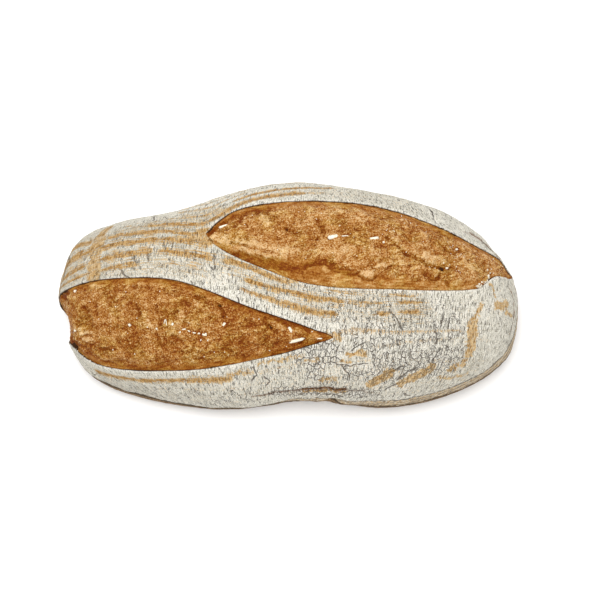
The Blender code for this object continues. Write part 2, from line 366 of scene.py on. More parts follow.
    def on_grid(self, u: Array, v: Array) -> tuple[Array, Array]:
        """Points and normals at places of the square grid."""
        return self.surface(self.disc_of_grid, u, v, self.grid_step, 1.0)


@dataclass(frozen=True)
class Score:
    """One cut in the skin that opened in the oven, as its two edges on the map."""

    name: str
    back_edge: tuple[Place, ...]
    front_edge: tuple[Place, ...]
    front_shelf: tuple[Place, ...]  # line from which the torn middle falls to the smooth front band
    back_shelf: float
    back_lip: float  # drop from the skin's lip to the bread, along each edge
    front_lip: float
    toast: float  # how pale it baked, from 0 to 1
    sunk: tuple[Stroke, ...]  # creases, pits, burnt places and ledges, low and dark: burnt crust and painted shade in creases and under ledges
    raised: tuple[Stroke, ...]  # blisters and ridges, high and pale

    @property
    def ends(self) -> tuple[float, float]:
        """Where it starts and ends along the loaf."""
        return self.back_edge[0][0], self.back_edge[-1][0]

    def edges(self, p: Array) -> tuple[Array, Array]:
        """Its back and front edge at places along the loaf."""
        return curve_through(self.back_edge, p), curve_through(self.front_edge, p)

    def outline(self, steps: int = 260) -> Array:
        """Its closed outline as a fine chain of places.

        Args:
            steps: How many places each edge has.

        Returns:
            p and q of each place, one row each.
        """
        first, last = self.ends
        p = first + (last - first) * 0.5 * (1 - np.cos(np.linspace(0.0, math.pi, steps)))
        back, front = self.edges(p)
        return np.concatenate((np.stack((p, back), axis=-1), np.stack((p, front), axis=-1)[::-1]))

    def inside(self, p: Array, q: Array) -> tuple[Array, Array, Array]:
        """Distance to the outline.

        Args:
            p: Places on the map, along the loaf.
            q: Places on the map, across it.

        Returns:
            The distance, positive inside, and the nearest place of the outline as p and q.
        """
        first, last = self.ends
        back, front = self.edges(np.clip(p, first, last))
        within = (p > first) & (p < last) & (q < back) & (q > front)
        loop = self.outline()
        start, run = loop, np.roll(loop, -1, axis=0) - loop
        squares = np.maximum((run**2).sum(axis=1), 1e-9)
        distance, foot_p, foot_q = np.full(p.shape, -FAR), p.copy(), q.copy()
        low, high = loop.min(axis=0) - 0.5 * FAR, loop.max(axis=0) + 0.5 * FAR
        near = np.flatnonzero((p > low[0]) & (p < high[0]) & (q > low[1]) & (q < high[1]))
        for rows in np.array_split(near, max(1, len(near) // BATCH)):
            dp, dq = p[rows, None] - start[:, 0], q[rows, None] - start[:, 1]
            t = np.clip((dp * run[:, 0] + dq * run[:, 1]) / squares, 0.0, 1.0)
            away = np.hypot(dp - t * run[:, 0], dq - t * run[:, 1])
            best = away.argmin(axis=1)
            pick = np.arange(len(rows)), best
            distance[rows] = np.where(within[rows], away[pick], -away[pick])
            foot_p[rows] = start[best, 0] + t[pick] * run[best, 0]
            foot_q[rows] = start[best, 1] + t[pick] * run[best, 1]
        return distance, foot_p, foot_q


@dataclass(frozen=True)
class Relief:
    """How far the crust stands above the plain dome, in its broad forms."""

    lump_size: float = 45.0
    lump_height: float = 1.2
    swell: float = 3.2
    swell_reach: float = 15.0
    lip_rise: float = 1.4
    lip_reach: float = 9.0
    inner_depth: float = 0.8
    shelf_slope: float = 4.0
    crags: tuple[tuple[float, float], ...] = ((11.0, 1.5), (5.5, 0.8))
    hollow_start: float = -172.0
    hollow_full: float = -206.0
    hollow_edge_depth: float = 1.2
    hollow_depth: float = 6.0
    hollow_reach: float = 16.0
    foot_height: float = 20.0
    narrow: float = 9.0  # width below which a score's lips get lower
    rim_bumps: tuple[tuple[float, float, float, float], ...] = (  # p, q, radius, height
        (29.0, -98.0, 7.0, -5.0),
        (-15.0, -98.0, 34.0, -1.6),
        (62.0, -99.0, 18.0, -1.6),
        (-193.0, 46.0, 16.0, 1.8),
        (152.0, 50.0, 14.0, 2.0),
        (162.0, 33.0, 8.0, 1.8),
        (173.5, 12.0, 8.0, -2.2),
        (-192.0, -64.0, 12.0, 1.4),
    )

    def over_end(self, p: Array) -> Array:
        """0 along the loaf, rising to 1 where the front score runs over its narrow end."""
        return smooth_step((self.hollow_start - p) / (self.hollow_start - self.hollow_full))

    def body(self, p: Array, q: Array, points: Array, insides: Sequence[Array]) -> Array:
        """Lumps, swollen scores, curled lips, and bumps and the notch at the rim.

        Args:
            p: Places on the map, along the loaf.
            q: Places on the map, across it.
            points: The same places on the plain dome.
            insides: Distance inside each score.

        Returns:
            The rise at each place.
        """
        rise = self.lump_height * grain(points, self.lump_size)
        for inside in insides:
            curl = self.lip_rise * smooth_step(1 + inside / self.lip_reach)
            swell = self.swell * smooth_step(inside / self.swell_reach)
            rise = rise + (curl + swell) * (1 - self.over_end(p))
        for at_p, at_q, radius, height in self.rim_bumps:
            rise = rise + height * np.exp(-((p - at_p) ** 2 + (q - at_q) ** 2) / radius**2)
        return rise * np.clip(points[:, 2] / self.foot_height, 0.0, 1.0)

    def torn(self, score: Score, p: Array, q: Array) -> Array:
        """Tells the torn middle of a score from the smooth stretched bands along its edges.

        Args:
            score: The score.
            p: Places on the map, along the loaf.
            q: Places on the map, across it.

        Returns:
            1 on the torn middle, 0 on the bands.
        """
        back, _ = score.edges(p)
        shelf = curve_through(score.front_shelf, p)
        past_back = smooth_step((back - q - score.back_shelf) / self.shelf_slope)
        return past_back * smooth_step((q - shelf) / self.shelf_slope + 0.5)

    def opened(self, score: Score, p: Array, q: Array, body: Array, inside: Array) -> Array:
        """Rise of the bread that shows in a score, before its crags.

        Args:
            score: The score.
            p: Places on the map, along the loaf.
            q: Places on the map, across it.
            body: Rise of the body there.
            inside: Distance inside the score.

        Returns:
            The rise at each place.
        """
        back, front = score.edges(p)
        width = np.maximum(back - front, 0.1)
        frontness = smooth_step((back - q) / width)
        lip = score.back_lip + (score.front_lip - score.back_lip) * frontness
        lip = lip * smooth_step(width / self.narrow)
        along = body - lip + (lip - self.inner_depth) * self.torn(score, p, q)
        hollowed = smooth_step(inside / self.hollow_reach)
        end = -self.hollow_edge_depth - (self.hollow_depth - self.hollow_edge_depth) * hollowed
        return along + (end - along) * self.over_end(p)


@dataclass(frozen=True)
class Loaf:
    """The shared form that every piece is laid on, and its place in the frame."""

    shape: CrustShape
    relief: Relief
    scores: tuple[Score, ...]
    middle: Place = (-8.5, 5.5)
    press: float = 1.2  # how far below the solid's own bounds the highest crests start to be pressed down

    def insides(self, p: Array, q: Array) -> list[Array]:
        """Distance inside each score, at places on the map."""
        return [score.inside(p, q)[0] for score in self.scores]

    def metres(self, points: Array) -> Array:
        """Places in the frame, in metres, none past the sides or the top of the solid.

        Args:
            points: Points measured from the crown's foot.

        Returns:
            The same points in the frame.
        """
        low, high = (np.array(corner) / MM for corner in SOLID_BOX)
        centre = 0.5 * (low + high)
        points = points + np.array((centre[0] - self.middle[0], centre[1] - self.middle[1], low[2]))
        over = np.maximum(points - high + self.press, 0.0)
        under = np.maximum(low + self.press - points, 0.0) * np.array((1.0, 1.0, 0.0))
        points = points - over + self.press * (1 - np.exp(-over / self.press))
        return MM * (points + under - self.press * (1 - np.exp(-under / self.press)))


def linear(hex_colour: str) -> tuple[float, float, float, float]:
    """An sRGB colour such as '#d9c8a5' as linear light with full alpha."""
    levels = [int(hex_colour[at : at + 2], 16) / 255 for at in (1, 3, 5)]
    return *(level / 12.92 if level <= 0.04045 else ((level + 0.055) / 1.055) ** 2.4 for level in levels), 1.0


class Recipe:
    """A material in the making, whose nodes are added one by one."""

    def __init__(self, name: str, roughness: float, specular: float) -> None:
        """Starts a material with one colour, roughness and gloss all over.

        Args:
            name: The material's name.
            roughness: Its roughness.
            specular: The strength of its gloss.
        """
        self.material = bpy.data.materials.new(name)
        self.material.use_nodes = True
        self.tree = self.material.node_tree
        self.shader = self.tree.nodes["Principled BSDF"]
        self.shader.inputs["Roughness"].default_value = roughness
        self.shader.inputs["Specular IOR Level"].default_value = specular

    def add(
        self,
        kind: str,
        inputs: dict[int | str, Input],
        out: int | str = 0,
        stops: Sequence[str] = (),
        **settings: str | bool,
    ) -> Socket:
        """Adds one node.

        Args:
            kind: The node's type, without the ShaderNode that Blender's name starts with.
            inputs: Sockets and values for its inputs, by place or name.
            out: The output that is wanted, by place or name.
            stops: Colours of its ramp, evenly spread, if it has one.
            **settings: The node's own properties.

        Returns:
            The output.
        """
        node = self.tree.nodes.new("ShaderNode" + kind)
        for name, value in settings.items():
            setattr(node, name, value)
        for key, value in inputs.items():
            if isinstance(value, Socket):
                self.tree.links.new(value, node.inputs[key])
            else:
                node.inputs[key].default_value = value
        for number, colour in enumerate(stops):
            elements = node.color_ramp.elements
            element = elements[number] if number < len(elements) else elements.new(1.0)
            element.position = number / (len(stops) - 1)
            element.color = linear(colour)
        return node.outputs[out]

    def swing(self, start: Input, *terms: tuple[Socket, float]) -> Socket:
        """A start that patterns between 0 and 1 push up and down.

        Args:
            start: The value where every pattern is at its middle.
            *terms: Each pattern, and how far it pushes from its 0 to its 1.

        Returns:
            The sum.
        """
        middle = -0.5 * sum(weight for _, weight in terms)
        total = self.add("Math", {0: start, 1: middle}, operation="ADD")
        for pattern, weight in terms:
            total = self.add("Math", {0: pattern, 1: weight, 2: total}, operation="MULTIPLY_ADD")
        return total

    def strongest(self, first: Socket, *others: Socket) -> Socket:
        """Joins patterns so that the highest shows.

        Args:
            first: The first pattern.
            *others: The others.

        Returns:
            The highest value.
        """
        for other in others:
            first = self.add("Math", {0: first, 1: other}, operation="MAXIMUM")
        return first

    def layered(self, colour: Socket, *layers: tuple[Socket, Input]) -> Socket:
        """Colours laid one over another.

        Args:
            colour: The lowest colour.
            *layers: How far each further one covers, and its colour.

        Returns:
            The colour that shows.
        """
        for cover, layer in layers:
            colour = self.add("Mix", {0: cover, 6: colour, 7: layer}, 2, data_type="RGBA")
        return colour

    def lumps(self, place: Socket, size: Size, detail: float = 2.0) -> Socket:
        """Soft lumps.

        Args:
            place: Where they are read.
            size: A lump's size along each axis, in the place's own unit.
            detail: How many finer layers of noise they have.

        Returns:
            About 0.3 between lumps to 0.7 on them.
        """
        scale = tuple(1 / length for length in size)
        scaled = self.add("VectorMath", {0: place, 1: scale}, operation="MULTIPLY")
        return self.add("TexNoise", {"Vector": scaled, "Scale": 1.0, "Detail": detail})

    def shaken(self, place: Socket, size: float, push: float) -> Socket:
        """A place on the map that soft noise pushes about.

        Args:
            place: The place.
            size: Size of the noise's lumps.
            push: Its reach.

        Returns:
            The pushed place.
        """
        scaled = self.add("VectorMath", {0: place, "Scale": 1 / size}, operation="SCALE")
        pushes = self.add("TexNoise", {"Vector": scaled, "Scale": 1.0, "Detail": 2.0}, "Color")
        return self.add("VectorMath", {0: pushes, 1: (push, push, 0.0), 2: place}, operation="MULTIPLY_ADD")

    def chips(self, place: Socket, size: Size) -> tuple[Socket, Socket]:
        """The chips of a crackled skin.

        Args:
            place: Place on the map.
            size: A chip's size along each axis.

        Returns:
            Distance to the chip's edge, over its size, and a random number for each chip.
        """
        scale = tuple(1 / length for length in size)
        scaled = self.add("VectorMath", {0: place, 1: scale}, operation="MULTIPLY")
        inputs = {"Vector": scaled, "Scale": 1.0}
        flat = {"voronoi_dimensions": "2D"}
        edge = self.add("TexVoronoi", inputs, "Distance", feature="DISTANCE_TO_EDGE", **flat)
        colour = self.add("TexVoronoi", inputs, "Color", feature="F1", **flat)
        return edge, self.add("SeparateColor", {0: colour})

    def crack(self, away: Socket, half_width: Input, there: Input) -> tuple[Socket, Socket]:
        """Cracks in a dry skin.

        Args:
            away: Distance to the middle of the nearest crack.
            half_width: Half a crack's width, in the same unit.
            there: 0 where cracks are closed to 1 where they are open.

        Returns:
            The dark cracks, and the rims beside them where the skin's edge curls up; the rims lighten the
            flour as a painted highlight.
        """
        ratio = self.add("Math", {0: away, 1: half_width}, operation="DIVIDE")
        line = self.add("MapRange", {0: ratio, 1: 0.3, 2: 1.0, 3: 1.0, 4: 0.0}, **SOFT)
        rim = self.add("MapRange", {0: ratio, 1: 0.9, 2: 3.2, 3: 1.0, 4: 0.0}, **SOFT)
        line, rim = (self.add("Math", {0: part, 1: there}, operation="MULTIPLY") for part in (line, rim))
        return line, rim

    def pebbles(self, place: Socket, size: float) -> Socket:
        """Round lumps side by side.

        Args:
            place: Where they are read.
            size: A lump's width.

        Returns:
            0 at the middle of each to about 0.7 between them.
        """
        scaled = self.add("VectorMath", {0: place, "Scale": 1 / size}, operation="SCALE")
        inputs = {"Vector": scaled, "Scale": 1.0}
        return self.add("TexVoronoi", inputs, "Distance", feature="F1", voronoi_dimensions="2D")

    def finish(self, colour: Socket, height: Socket) -> bpy.types.Material:
        """Connects colour and relief.

        Args:
            colour: The surface's colour.
            height: Its fine relief, in millimetres.

        Returns:
            The finished material.
        """
        bumped = self.add("Bump", {"Strength": 1.0, "Distance": MM, "Height": height})
        self.tree.links.new(colour, self.shader.inputs["Base Color"])
        self.tree.links.new(bumped, self.shader.inputs["Normal"])
        return self.material


@dataclass(frozen=True)
class FlouredCrust:
    """Baked wheat crust under rice flour from the proofing basket.

    The flour is a dead matt off-white that has split across the loaf as the crust stretched, and into chips
    where it stretched both ways. Where a ring or a hand rubbed it thin, the golden crust under it shows. Its
    grit is finer than a pixel, and is drawn half a millimetre wide so that it shows.
    """

    flour: tuple[str, ...] = ("#918b7c", "#b6b1a2", "#cac6b9", "#dad6cc")
    crust: tuple[str, ...] = ("#805425", "#9e7943", "#b69565", "#c6ae87")
    fold_colour: str = "#633a12"
    crack_colour: str = "#302213"
    # colour of the painted shadow line along the foot
    foot_shadow_colour: str = "#40352a"
    side: tuple[str, ...] = ("#3f3023", "#6a523a", "#8f7554", "#b3a07f")
    # dark wall of the skin at a score's lip: burnt crust, darkened further as painted shade under the lip
    torn: str = "#3c2411"
    roughness: float = 0.93
    specular: float = 0.1
    lump_sizes: tuple[float, ...] = (22.0, 5.0, 1.9, 0.95, 0.5)  # patches, blotches, two smaller and grit
    hatch: Size = (0.7, 4.5, 1.0)  # fine scratches across the loaf
    breaks: Size = (3.2, 9.0, 1.0)  # where a split or a line of the foot stops
    row: Size = (13.0, 0.9, 1.0)  # fine streaks along the rings
    split_spacing: float = 3.8
    rib_spacing: float = 1.9  # of the faint ribs between the splits
    pushes: tuple[tuple[Size, float], ...] = (((9.0, 13.0, 1.0), 10.0), ((2.0, 1.6, 1.0), 4.5))
    block: Size = (2.7, 4.2, 1.0)  # of skin between two splits
    chip: Size = (3.8, 4.4, 1.0)
    small_chip: Size = (1.8, 2.3, 1.0)
    shake: tuple[float, float] = (3.0, 3.6)  # size and push of the noise that bends the chips' edges
    foot_top: float = 33.0  # height of the line below which the side has little flour
    foot_layer: float = 5.4
    clean_lift: float = 14.0  # how far the flour reaches lower where the foot is clean
    foot_edge: float = 20.0  # height below which the side has no flour
    foot_shadow: float = 17.5  # height of the painted shadow line under the flour's edge

    def material(self) -> bpy.types.Material:
        """Builds the material from what the skin's mesh stores."""
        return CrustRecipe(self).build()


class CrustRecipe(Recipe):
    """The floured crust's material in the making, part by part."""

    NUMBERS = (
        "ring", "ring_show", "bare", "crack_side", "crack_near", "fold", "split", "net", "foot", "inside",
        "thin", "clean",
    )

    def __init__(self, values: FlouredCrust) -> None:
        """Reads what the skin's mesh stores, and lays out the patterns that the parts share.

        Args:
            values: The crust's colours and sizes.
        """
        super().__init__("floured_crust", values.roughness, values.specular)
        self.values = values
        self.place = self.add("Attribute", {}, "Vector", attribute_name="map")
        self.stored = {name: self.add("Attribute", {}, "Fac", attribute_name=name) for name in self.NUMBERS}
        self.patches, self.blotches, self.medium, self.fine, self.grit = (
            self.lumps(self.place, (size, size, size)) for size in values.lump_sizes
        )
        self.hatch, self.breaks = (self.lumps(self.place, size) for size in (values.hatch, values.breaks))
        foot = self.stored["foot"]
        self.level = self.swing(foot, (self.blotches, 9.0), (self.medium, 4.0), (self.patches, 8.0))
        wavy = {0: self.stored["clean"], 1: values.clean_lift, 2: self.swing(foot, (self.blotches, 5.0))}
        self.strip = self.add("Math", wavy, operation="MULTIPLY_ADD")
        # Just outside a score's outline: the curled lip keeps its flour, and is lightened as a painted
        # highlight.
        self.lip = self.add("MapRange", {0: self.stored["inside"], 1: -1.8, 2: -0.8}, **SOFT)

    def worn(self) -> tuple[Socket, Socket]:
        """Rings and rubbed streaks, where the flour is thin. Fine hatching runs across them.

        Returns:
            How plainly a ring shows, and 0 on the flour to 1 where it is gone.
        """
        add, swing, shown, top = self.add, self.swing, self.stored["ring_show"], self.values.foot_top
        number = swing(self.stored["ring"], (self.medium, 0.3), (self.blotches, 0.35))
        to_ring = add("Math", {0: number, 1: 0.5}, operation="PINGPONG")
        outer = add("MapRange", {0: shown, 2: 1.8, 3: 0.28, 4: 0.56}, clamp=False)
        band = add("MapRange", {0: to_ring, 1: 0.0, 2: outer, 3: 1.0, 4: 0.0}, **SOFT)
        there = add("MapRange", {0: shown, 1: 0.0, 2: 0.8, 3: 0.0, 4: 1.0})
        band = add("Math", {0: band, 1: there}, operation="MULTIPLY")
        band = swing(band, (self.fine, 1.1), (self.hatch, 2.2), (self.patches, 0.4), (self.medium, 0.9))
        bare = swing(self.stored["bare"], (self.medium, 4.0), (self.blotches, 4.5))
        streak = add("MapRange", {0: bare, 1: -1.2, 2: 2.0, 4: 0.85}, **SOFT)
        browned = add("MapRange", {0: self.strip, 1: top - 1.0, 2: top, 3: 0.6, 4: 0.0}, **SOFT)
        rubbed = self.strongest(streak, browned)
        rubbed = swing(rubbed, (self.fine, 1.4), (self.medium, 1.2), (self.hatch, 0.6))
        rows = self.lumps(add("Attribute", {}, "Vector", attribute_name="rows"), self.values.row)
        thinned = swing(0.18, (rows, 3.0), (self.fine, 0.8))
        thinned = add("Math", {0: thinned, 1: self.stored["thin"]}, operation="MULTIPLY")
        worn = add("Math", {0: self.strongest(band, rubbed), 1: thinned}, operation="ADD")
        return band, add("MapRange", {0: swing(worn, (self.lip, -0.15)), 1: 0.3, 2: 1.0}, **SOFT)

    def splits(self) -> tuple[Socket, Socket, Socket]:
        """Splits across the loaf, where a place that noise pushes along reaches a whole number of spacings.

        Returns:
            The splits, the rims beside them, and the faint ribs between them.
        """
        pushes = ((self.lumps(self.place, size), push) for size, push in self.values.pushes)
        pushed = self.swing(self.add("SeparateXYZ", {0: self.place}, "X"), *pushes)
        away, ribs = (
            self.add("Math", {0: pushed, 1: 0.5 * spacing}, operation="PINGPONG")
            for spacing in (self.values.split_spacing, self.values.rib_spacing)
        )
        opened = self.swing(self.stored["split"], (self.breaks, 2.2), (self.blotches, 0.8))
        width = self.add("MapRange", {0: opened, 1: 0.4, 2: 1.2, 3: 0.24, 4: 0.38})
        return *self.crack(away, width, self.add("MapRange", {0: opened, 1: 0.4, 2: 0.8}, **SOFT)), ribs

    def net(self) -> tuple[Socket, Socket, Socket]:
        """Blocks between splits, chips where the net is weak, and small chips as well where it is strong.

        Returns:
            The cracks, the rims beside them, and a random number for each chip.
        """
        add, swing, split = self.add, self.swing, self.stored["split"]
        shaken = self.shaken(self.place, *self.values.shake)
        edge, _ = self.chips(shaken, self.values.block)
        opened = swing(split, (self.breaks, 2.2), (self.medium, 1.6), (self.blotches, 1.0))
        blocks, blocks_highlight_rim = self.crack(edge, 0.09, add("MapRange", {0: opened, 1: 0.65, 2: 1.3}, **SOFT))
        edge, chip = self.chips(shaken, self.values.chip)
        cover = swing(self.stored["net"], (self.blotches, 1.2), (self.breaks, 1.2))
        width = add("MapRange", {0: cover, 1: 0.3, 2: 1.2, 3: 0.07, 4: 0.12})
        chips, chips_highlight_rim = self.crack(edge, width, add("MapRange", {0: cover, 1: 0.25, 2: 0.5}, **SOFT))
        edge, _ = self.chips(shaken, self.values.small_chip)
        cover = swing(cover, (self.medium, 2.4), (split, 0.3))
        there = add("MapRange", {0: cover, 1: 0.4, 2: 1.4, 3: 0.0, 4: 0.4}, **SOFT)
        small, _ = self.crack(edge, 0.14, there)
        return self.strongest(blocks, chips, small), self.strongest(blocks_highlight_rim, chips_highlight_rim), chip

    def long_cracks(self) -> tuple[Socket, Socket]:
        """The long cracks that the mesh stores, and the rims beside them."""
        away = self.swing(self.stored["crack_side"], (self.medium, 1.6), (self.fine, 1.0))
        return self.crack(self.add("Math", {0: away}, operation="ABSOLUTE"), 1.0, self.stored["crack_near"])

    def foot_lines(self) -> Socket:
        """Broken level lines at the foot, where the skin folded in layers.

        Returns:
            0 to the strength of the lines.
        """
        wavy = self.swing(self.strip, (self.patches, 4.0))
        wavy = self.add("Math", {0: wavy, 1: self.values.foot_top}, operation="SUBTRACT")
        away = self.add("Math", {0: wavy, 1: 0.5 * self.values.foot_layer}, operation="PINGPONG")
        above = self.add("MapRange", {0: wavy, 1: 1.0, 2: 1.6, 3: 0.9, 4: 0.0})
        unbroken = self.swing(0.5, (self.breaks, 2.0), (self.medium, 2.0))
        unbroken = self.add("MapRange", {0: unbroken, 1: 0.0, 2: 0.5})
        return self.crack(away, 1.7, self.add("Math", {0: above, 1: unbroken}, operation="MULTIPLY"))[0]

    def build(self) -> bpy.types.Material:
        """Lays crust, folds, cracks and the dark foot with its painted shadow line over the flour, and joins
        their relief.

        Returns:
            The finished material.
        """
        add, swing, stored, values = self.add, self.swing, self.stored, self.values
        patches, blotches, medium = self.patches, self.blotches, self.medium
        fine, grit, hatch = self.fine, self.grit, self.hatch
        band, gone = self.worn()
        splits, splits_highlight_rim, ribs = self.splits()
        net, net_highlight_rim, chip = self.net()
        line, line_highlight_rim = self.long_cracks()
        ticks = add("MapRange", {0: hatch, 1: 0.34, 2: 0.43, 3: 0.75, 4: 0.0}, **SOFT)
        crack = self.strongest(splits, net, line, ticks, self.foot_lines())
        rim = self.strongest(splits_highlight_rim, net_highlight_rim, line_highlight_rim)

        tone = swing(
            0.76, (fine, 2.0), (grit, 2.3), (hatch, 1.5), (medium, 0.6), (patches, 0.5), (chip, 0.16)
        )
        # rim and lip lighten the flour: painted highlights on the curled edges of cracks and of the scores'
        # lips
        tone = swing(tone, (ribs, 0.3), (rim, 0.4), (self.lip, 0.15), (stored["thin"], -0.22))
        flour = add("ValToRGB", {0: tone}, stops=values.flour)
        tone = swing(0.5, (fine, 2.2), (grit, 1.6), (hatch, 2.0), (blotches, 1.3), (band, -0.25))
        golden = add("ValToRGB", {0: tone}, stops=values.crust)
        tone = swing(0.5, (fine, 1.6), (medium, 1.4), (blotches, 1.2), (patches, 0.8))
        baked = add("ValToRGB", {0: tone}, stops=values.side)

        folded = add("Math", {0: stored["fold"], 1: 0.9}, operation="MULTIPLY")
        darkness = add("MapRange", {0: gone, 3: 0.86, 4: 0.5})
        depth = add("Math", {0: crack, 1: darkness}, operation="MULTIPLY")
        low, high = values.foot_edge - 1.0, values.foot_edge + 1.0
        under = add("MapRange", {0: self.level, 1: low, 2: high, 3: 1.0, 4: 0.0}, **SOFT)
        # A painted shadow: a dark line along the foot, under the flour's edge.
        below = add("Math", {0: self.level, 1: values.foot_shadow}, operation="SUBTRACT")
        shadow, _ = self.crack(add("Math", {0: below}, operation="ABSOLUTE"), 3.6, 0.85)
        # Long cracks stay dark over the foot, which paints the shade in the notch at the rim.
        cracks_and_notch_shade = add("Math", {0: line, 1: self.strongest(under, shadow)}, operation="MULTIPLY")
        # The skin's wall inside a score's outline: burnt crust and painted shade under the lip.
        torn_wall_and_shade = add("MapRange", {0: stored["inside"], 1: 0.0, 2: 0.3}, **SOFT)
        dark = linear(values.crack_colour)
        colour = self.layered(flour, (gone, golden), (folded, linear(values.fold_colour)), (depth, dark))
        colour = self.layered(colour, (under, baked), (shadow, linear(values.foot_shadow_colour)), (cracks_and_notch_shade, dark))
        colour = self.layered(colour, (torn_wall_and_shade, linear(values.torn)))
        height = swing(0.0, (gone, -0.2), (crack, -0.5), (rim, 0.15), (ribs, 0.2))
        return self.finish(colour, swing(height, (fine, 0.5), (grit, 0.35), (hatch, 0.4), (medium, 0.3)))


@dataclass(frozen=True)
class TornBread:
    """Wheat bread that tore open in the oven and browned: a dry crust of blisters with a slight gloss.

    Most of it baked to an orange brown. In broad patches, where it opened last, it is a duller gold.
    """

    brown: tuple[str, ...] = ("#672b00", "#834b09", "#9b682d", "#b28752", "#c9a77b")
    gold: tuple[str, ...] = ("#6e3400", "#8a5810", "#a37735", "#b89257", "#cdae82")
    # dark edge of the bread along the lips: burnt crust and painted shade under the lip
    lip_burn_and_shade: str = "#40200a"
    roughness: float = 0.55
    specular: float = 0.1
    lump_sizes: tuple[float, ...] = (19.0, 2.1, 1.05, 0.55)  # patches of one hue, two smaller ones and grit
    strand: Size = (7.0, 1.1, 1.0)
    folds: tuple[Size, ...] = ((17.0, 8.0, 1.0), (8.0, 3.4, 1.0))
    fold_turn: float = 0.25  # radians from the loaf's length
    crease_width: float = 0.035  # over the swing of a fold's noise
    pebble_sizes: Size = (4.4, 2.9, 1.6)  # blisters, from large to small
    shake: tuple[float, float] = (2.5, 2.4)  # size and push of the noise that bends the blisters' edges

    def material(self) -> bpy.types.Material:
        """Builds the material from what the opened bread's mesh stores.

        Returns:
            The material.
        """
        recipe = Recipe("torn_bread", self.roughness, self.specular)
        add, swing = recipe.add, recipe.swing
        place = add("Attribute", {}, "Vector", attribute_name="map")
        numbers = ("height", "torn", "relief_tint_and_shade", "lip_burn_and_shade")
        height, torn, relief_tint_and_shade, lip_burn_and_shade = (add("Attribute", {}, "Fac", attribute_name=name) for name in numbers)
        hues, medium, fine, grit = (recipe.lumps(place, (size, size, size)) for size in self.lump_sizes)
        turned = add("VectorRotate", {0: place, "Angle": -self.fold_turn}, rotation_type="Z_AXIS")
        broad, blotches = (recipe.lumps(turned, size) for size in self.folds)
        strand = recipe.lumps(add("Attribute", {}, "Vector", attribute_name="flow"), self.strand)
        shaken = recipe.shaken(place, *self.shake)
        large, middling, small = (recipe.pebbles(shaken, size) for size in self.pebble_sizes)

        # The torn middle is all crags and blisters, and the smooth bands beside it are strands.
        rough = swing(
            0.2, (fine, 1.7), (grit, 2.1), (medium, 0.4), (large, -0.3), (middling, -0.35), (small, -0.4)
        )
        strand = add("Math", {0: strand, 1: 0.5}, operation="SUBTRACT")
        streaks, contrast = (add("MapRange", {0: torn, 3: a, 4: b}) for a, b in ((1.0, 0.3), (0.45, 1.0)))
        # height holds the bread's own toast plus the painted light and shade of its fine relief.
        tone = swing(height, (blotches, 0.6), (broad, 0.45))
        tone = add("Math", {0: strand, 1: streaks, 2: tone}, operation="MULTIPLY_ADD")
        tone = add("Math", {0: rough, 1: contrast, 2: tone}, operation="MULTIPLY_ADD")
        tone = add("Math", {0: tone, 1: relief_tint_and_shade}, operation="ADD")

        # Creases run where the folds' noise passes its middle.
        middle = add("Math", {0: blotches, 1: 0.5}, operation="SUBTRACT")
        away = add("Math", {0: middle}, operation="ABSOLUTE")
        crease = add("MapRange", {0: away, 2: self.crease_width, 3: 1.0, 4: 0.0})
        there = add("MapRange", {0: swing(torn, (medium, 2.0), (hues, 2.0)), 1: 0.7, 2: 1.2})
        crease = add("Math", {0: crease, 1: there}, operation="MULTIPLY")
        tone = add("Math", {0: crease, 1: -0.3, 2: tone}, operation="MULTIPLY_ADD")

        brown, gold = (add("ValToRGB", {0: tone}, stops=stops) for stops in (self.brown, self.gold))
        hue = add("MapRange", {0: swing(hues, (blotches, 0.5)), 1: 0.45, 2: 0.65}, **SOFT)
        colour = recipe.layered(brown, (hue, gold), (lip_burn_and_shade, linear(self.lip_burn_and_shade)))
        height = swing(
            0.0, (large, -0.6), (middling, -0.5), (small, -0.3), (crease, -0.4), (fine, 0.5), (grit, 0.3)
        )
        return recipe.finish(colour, height)


@dataclass(frozen=True)
class HearthBase:
    """The underside, browned on the oven floor: a dull brown crust with a thin uneven dust of flour."""

    colours: tuple[str, ...] = ("#4b3826", "#72563a", "#957651", "#c6b697")
    roughness: float = 0.85
    specular: float = 0.3
    lump_sizes: Size = (30.0, 6.0, 1.2)

    def material(self) -> bpy.types.Material:
        """Builds the material.

        Returns:
            The material.
        """
        recipe = Recipe("hearth_base", self.roughness, self.specular)
        place = recipe.add("TexCoord", {}, "Object")
        broad, medium, fine = (recipe.lumps(place, (MM * size,) * 3, 4.0) for size in self.lump_sizes)
        tone = recipe.swing(0.45, (broad, 1.2), (medium, 1.2), (fine, 2.2))
        colour = recipe.add("ValToRGB", {0: tone}, stops=self.colours)
        return recipe.finish(colour, recipe.swing(0.0, (medium, 0.5), (fine, 0.5)))


@dataclass(frozen=True)
class FlourChip:
    """A chip of dried flour paste: matt, chalky and nearly white."""

    colours: tuple[str, ...] = ("#c0b499", "#ddd4c0", "#ebe5d7")
    roughness: float = 0.95
    specular: float = 0.2
    grain: float = 0.9

    def material(self) -> bpy.types.Material:
        """Builds the material.

        Returns:
            The material.
        """
        recipe = Recipe("flour_chip", self.roughness, self.specular)
        grain = recipe.lumps(recipe.add("TexCoord", {}, "Object"), (MM * self.grain,) * 3, 3.0)
        colour = recipe.add("ValToRGB", {0: recipe.swing(0.5, (grain, 2.0))}, stops=self.colours)
        return recipe.finish(colour, recipe.swing(0.0, (grain, 0.3)))


@dataclass(frozen=True)
class StudioFloor:
    """Matt white paper under the loaf, lit bright enough to lose its edges."""

    colour: str = "#fbfbfa"
    roughness: float = 0.9

    def material(self) -> bpy.types.Material:
        """Builds the material.

        Returns:
            The material.
        """
        recipe = Recipe("pale_floor", self.roughness, 0.0)
        recipe.shader.inputs["Base Color"].default_value = linear(self.colour)
        return recipe.material


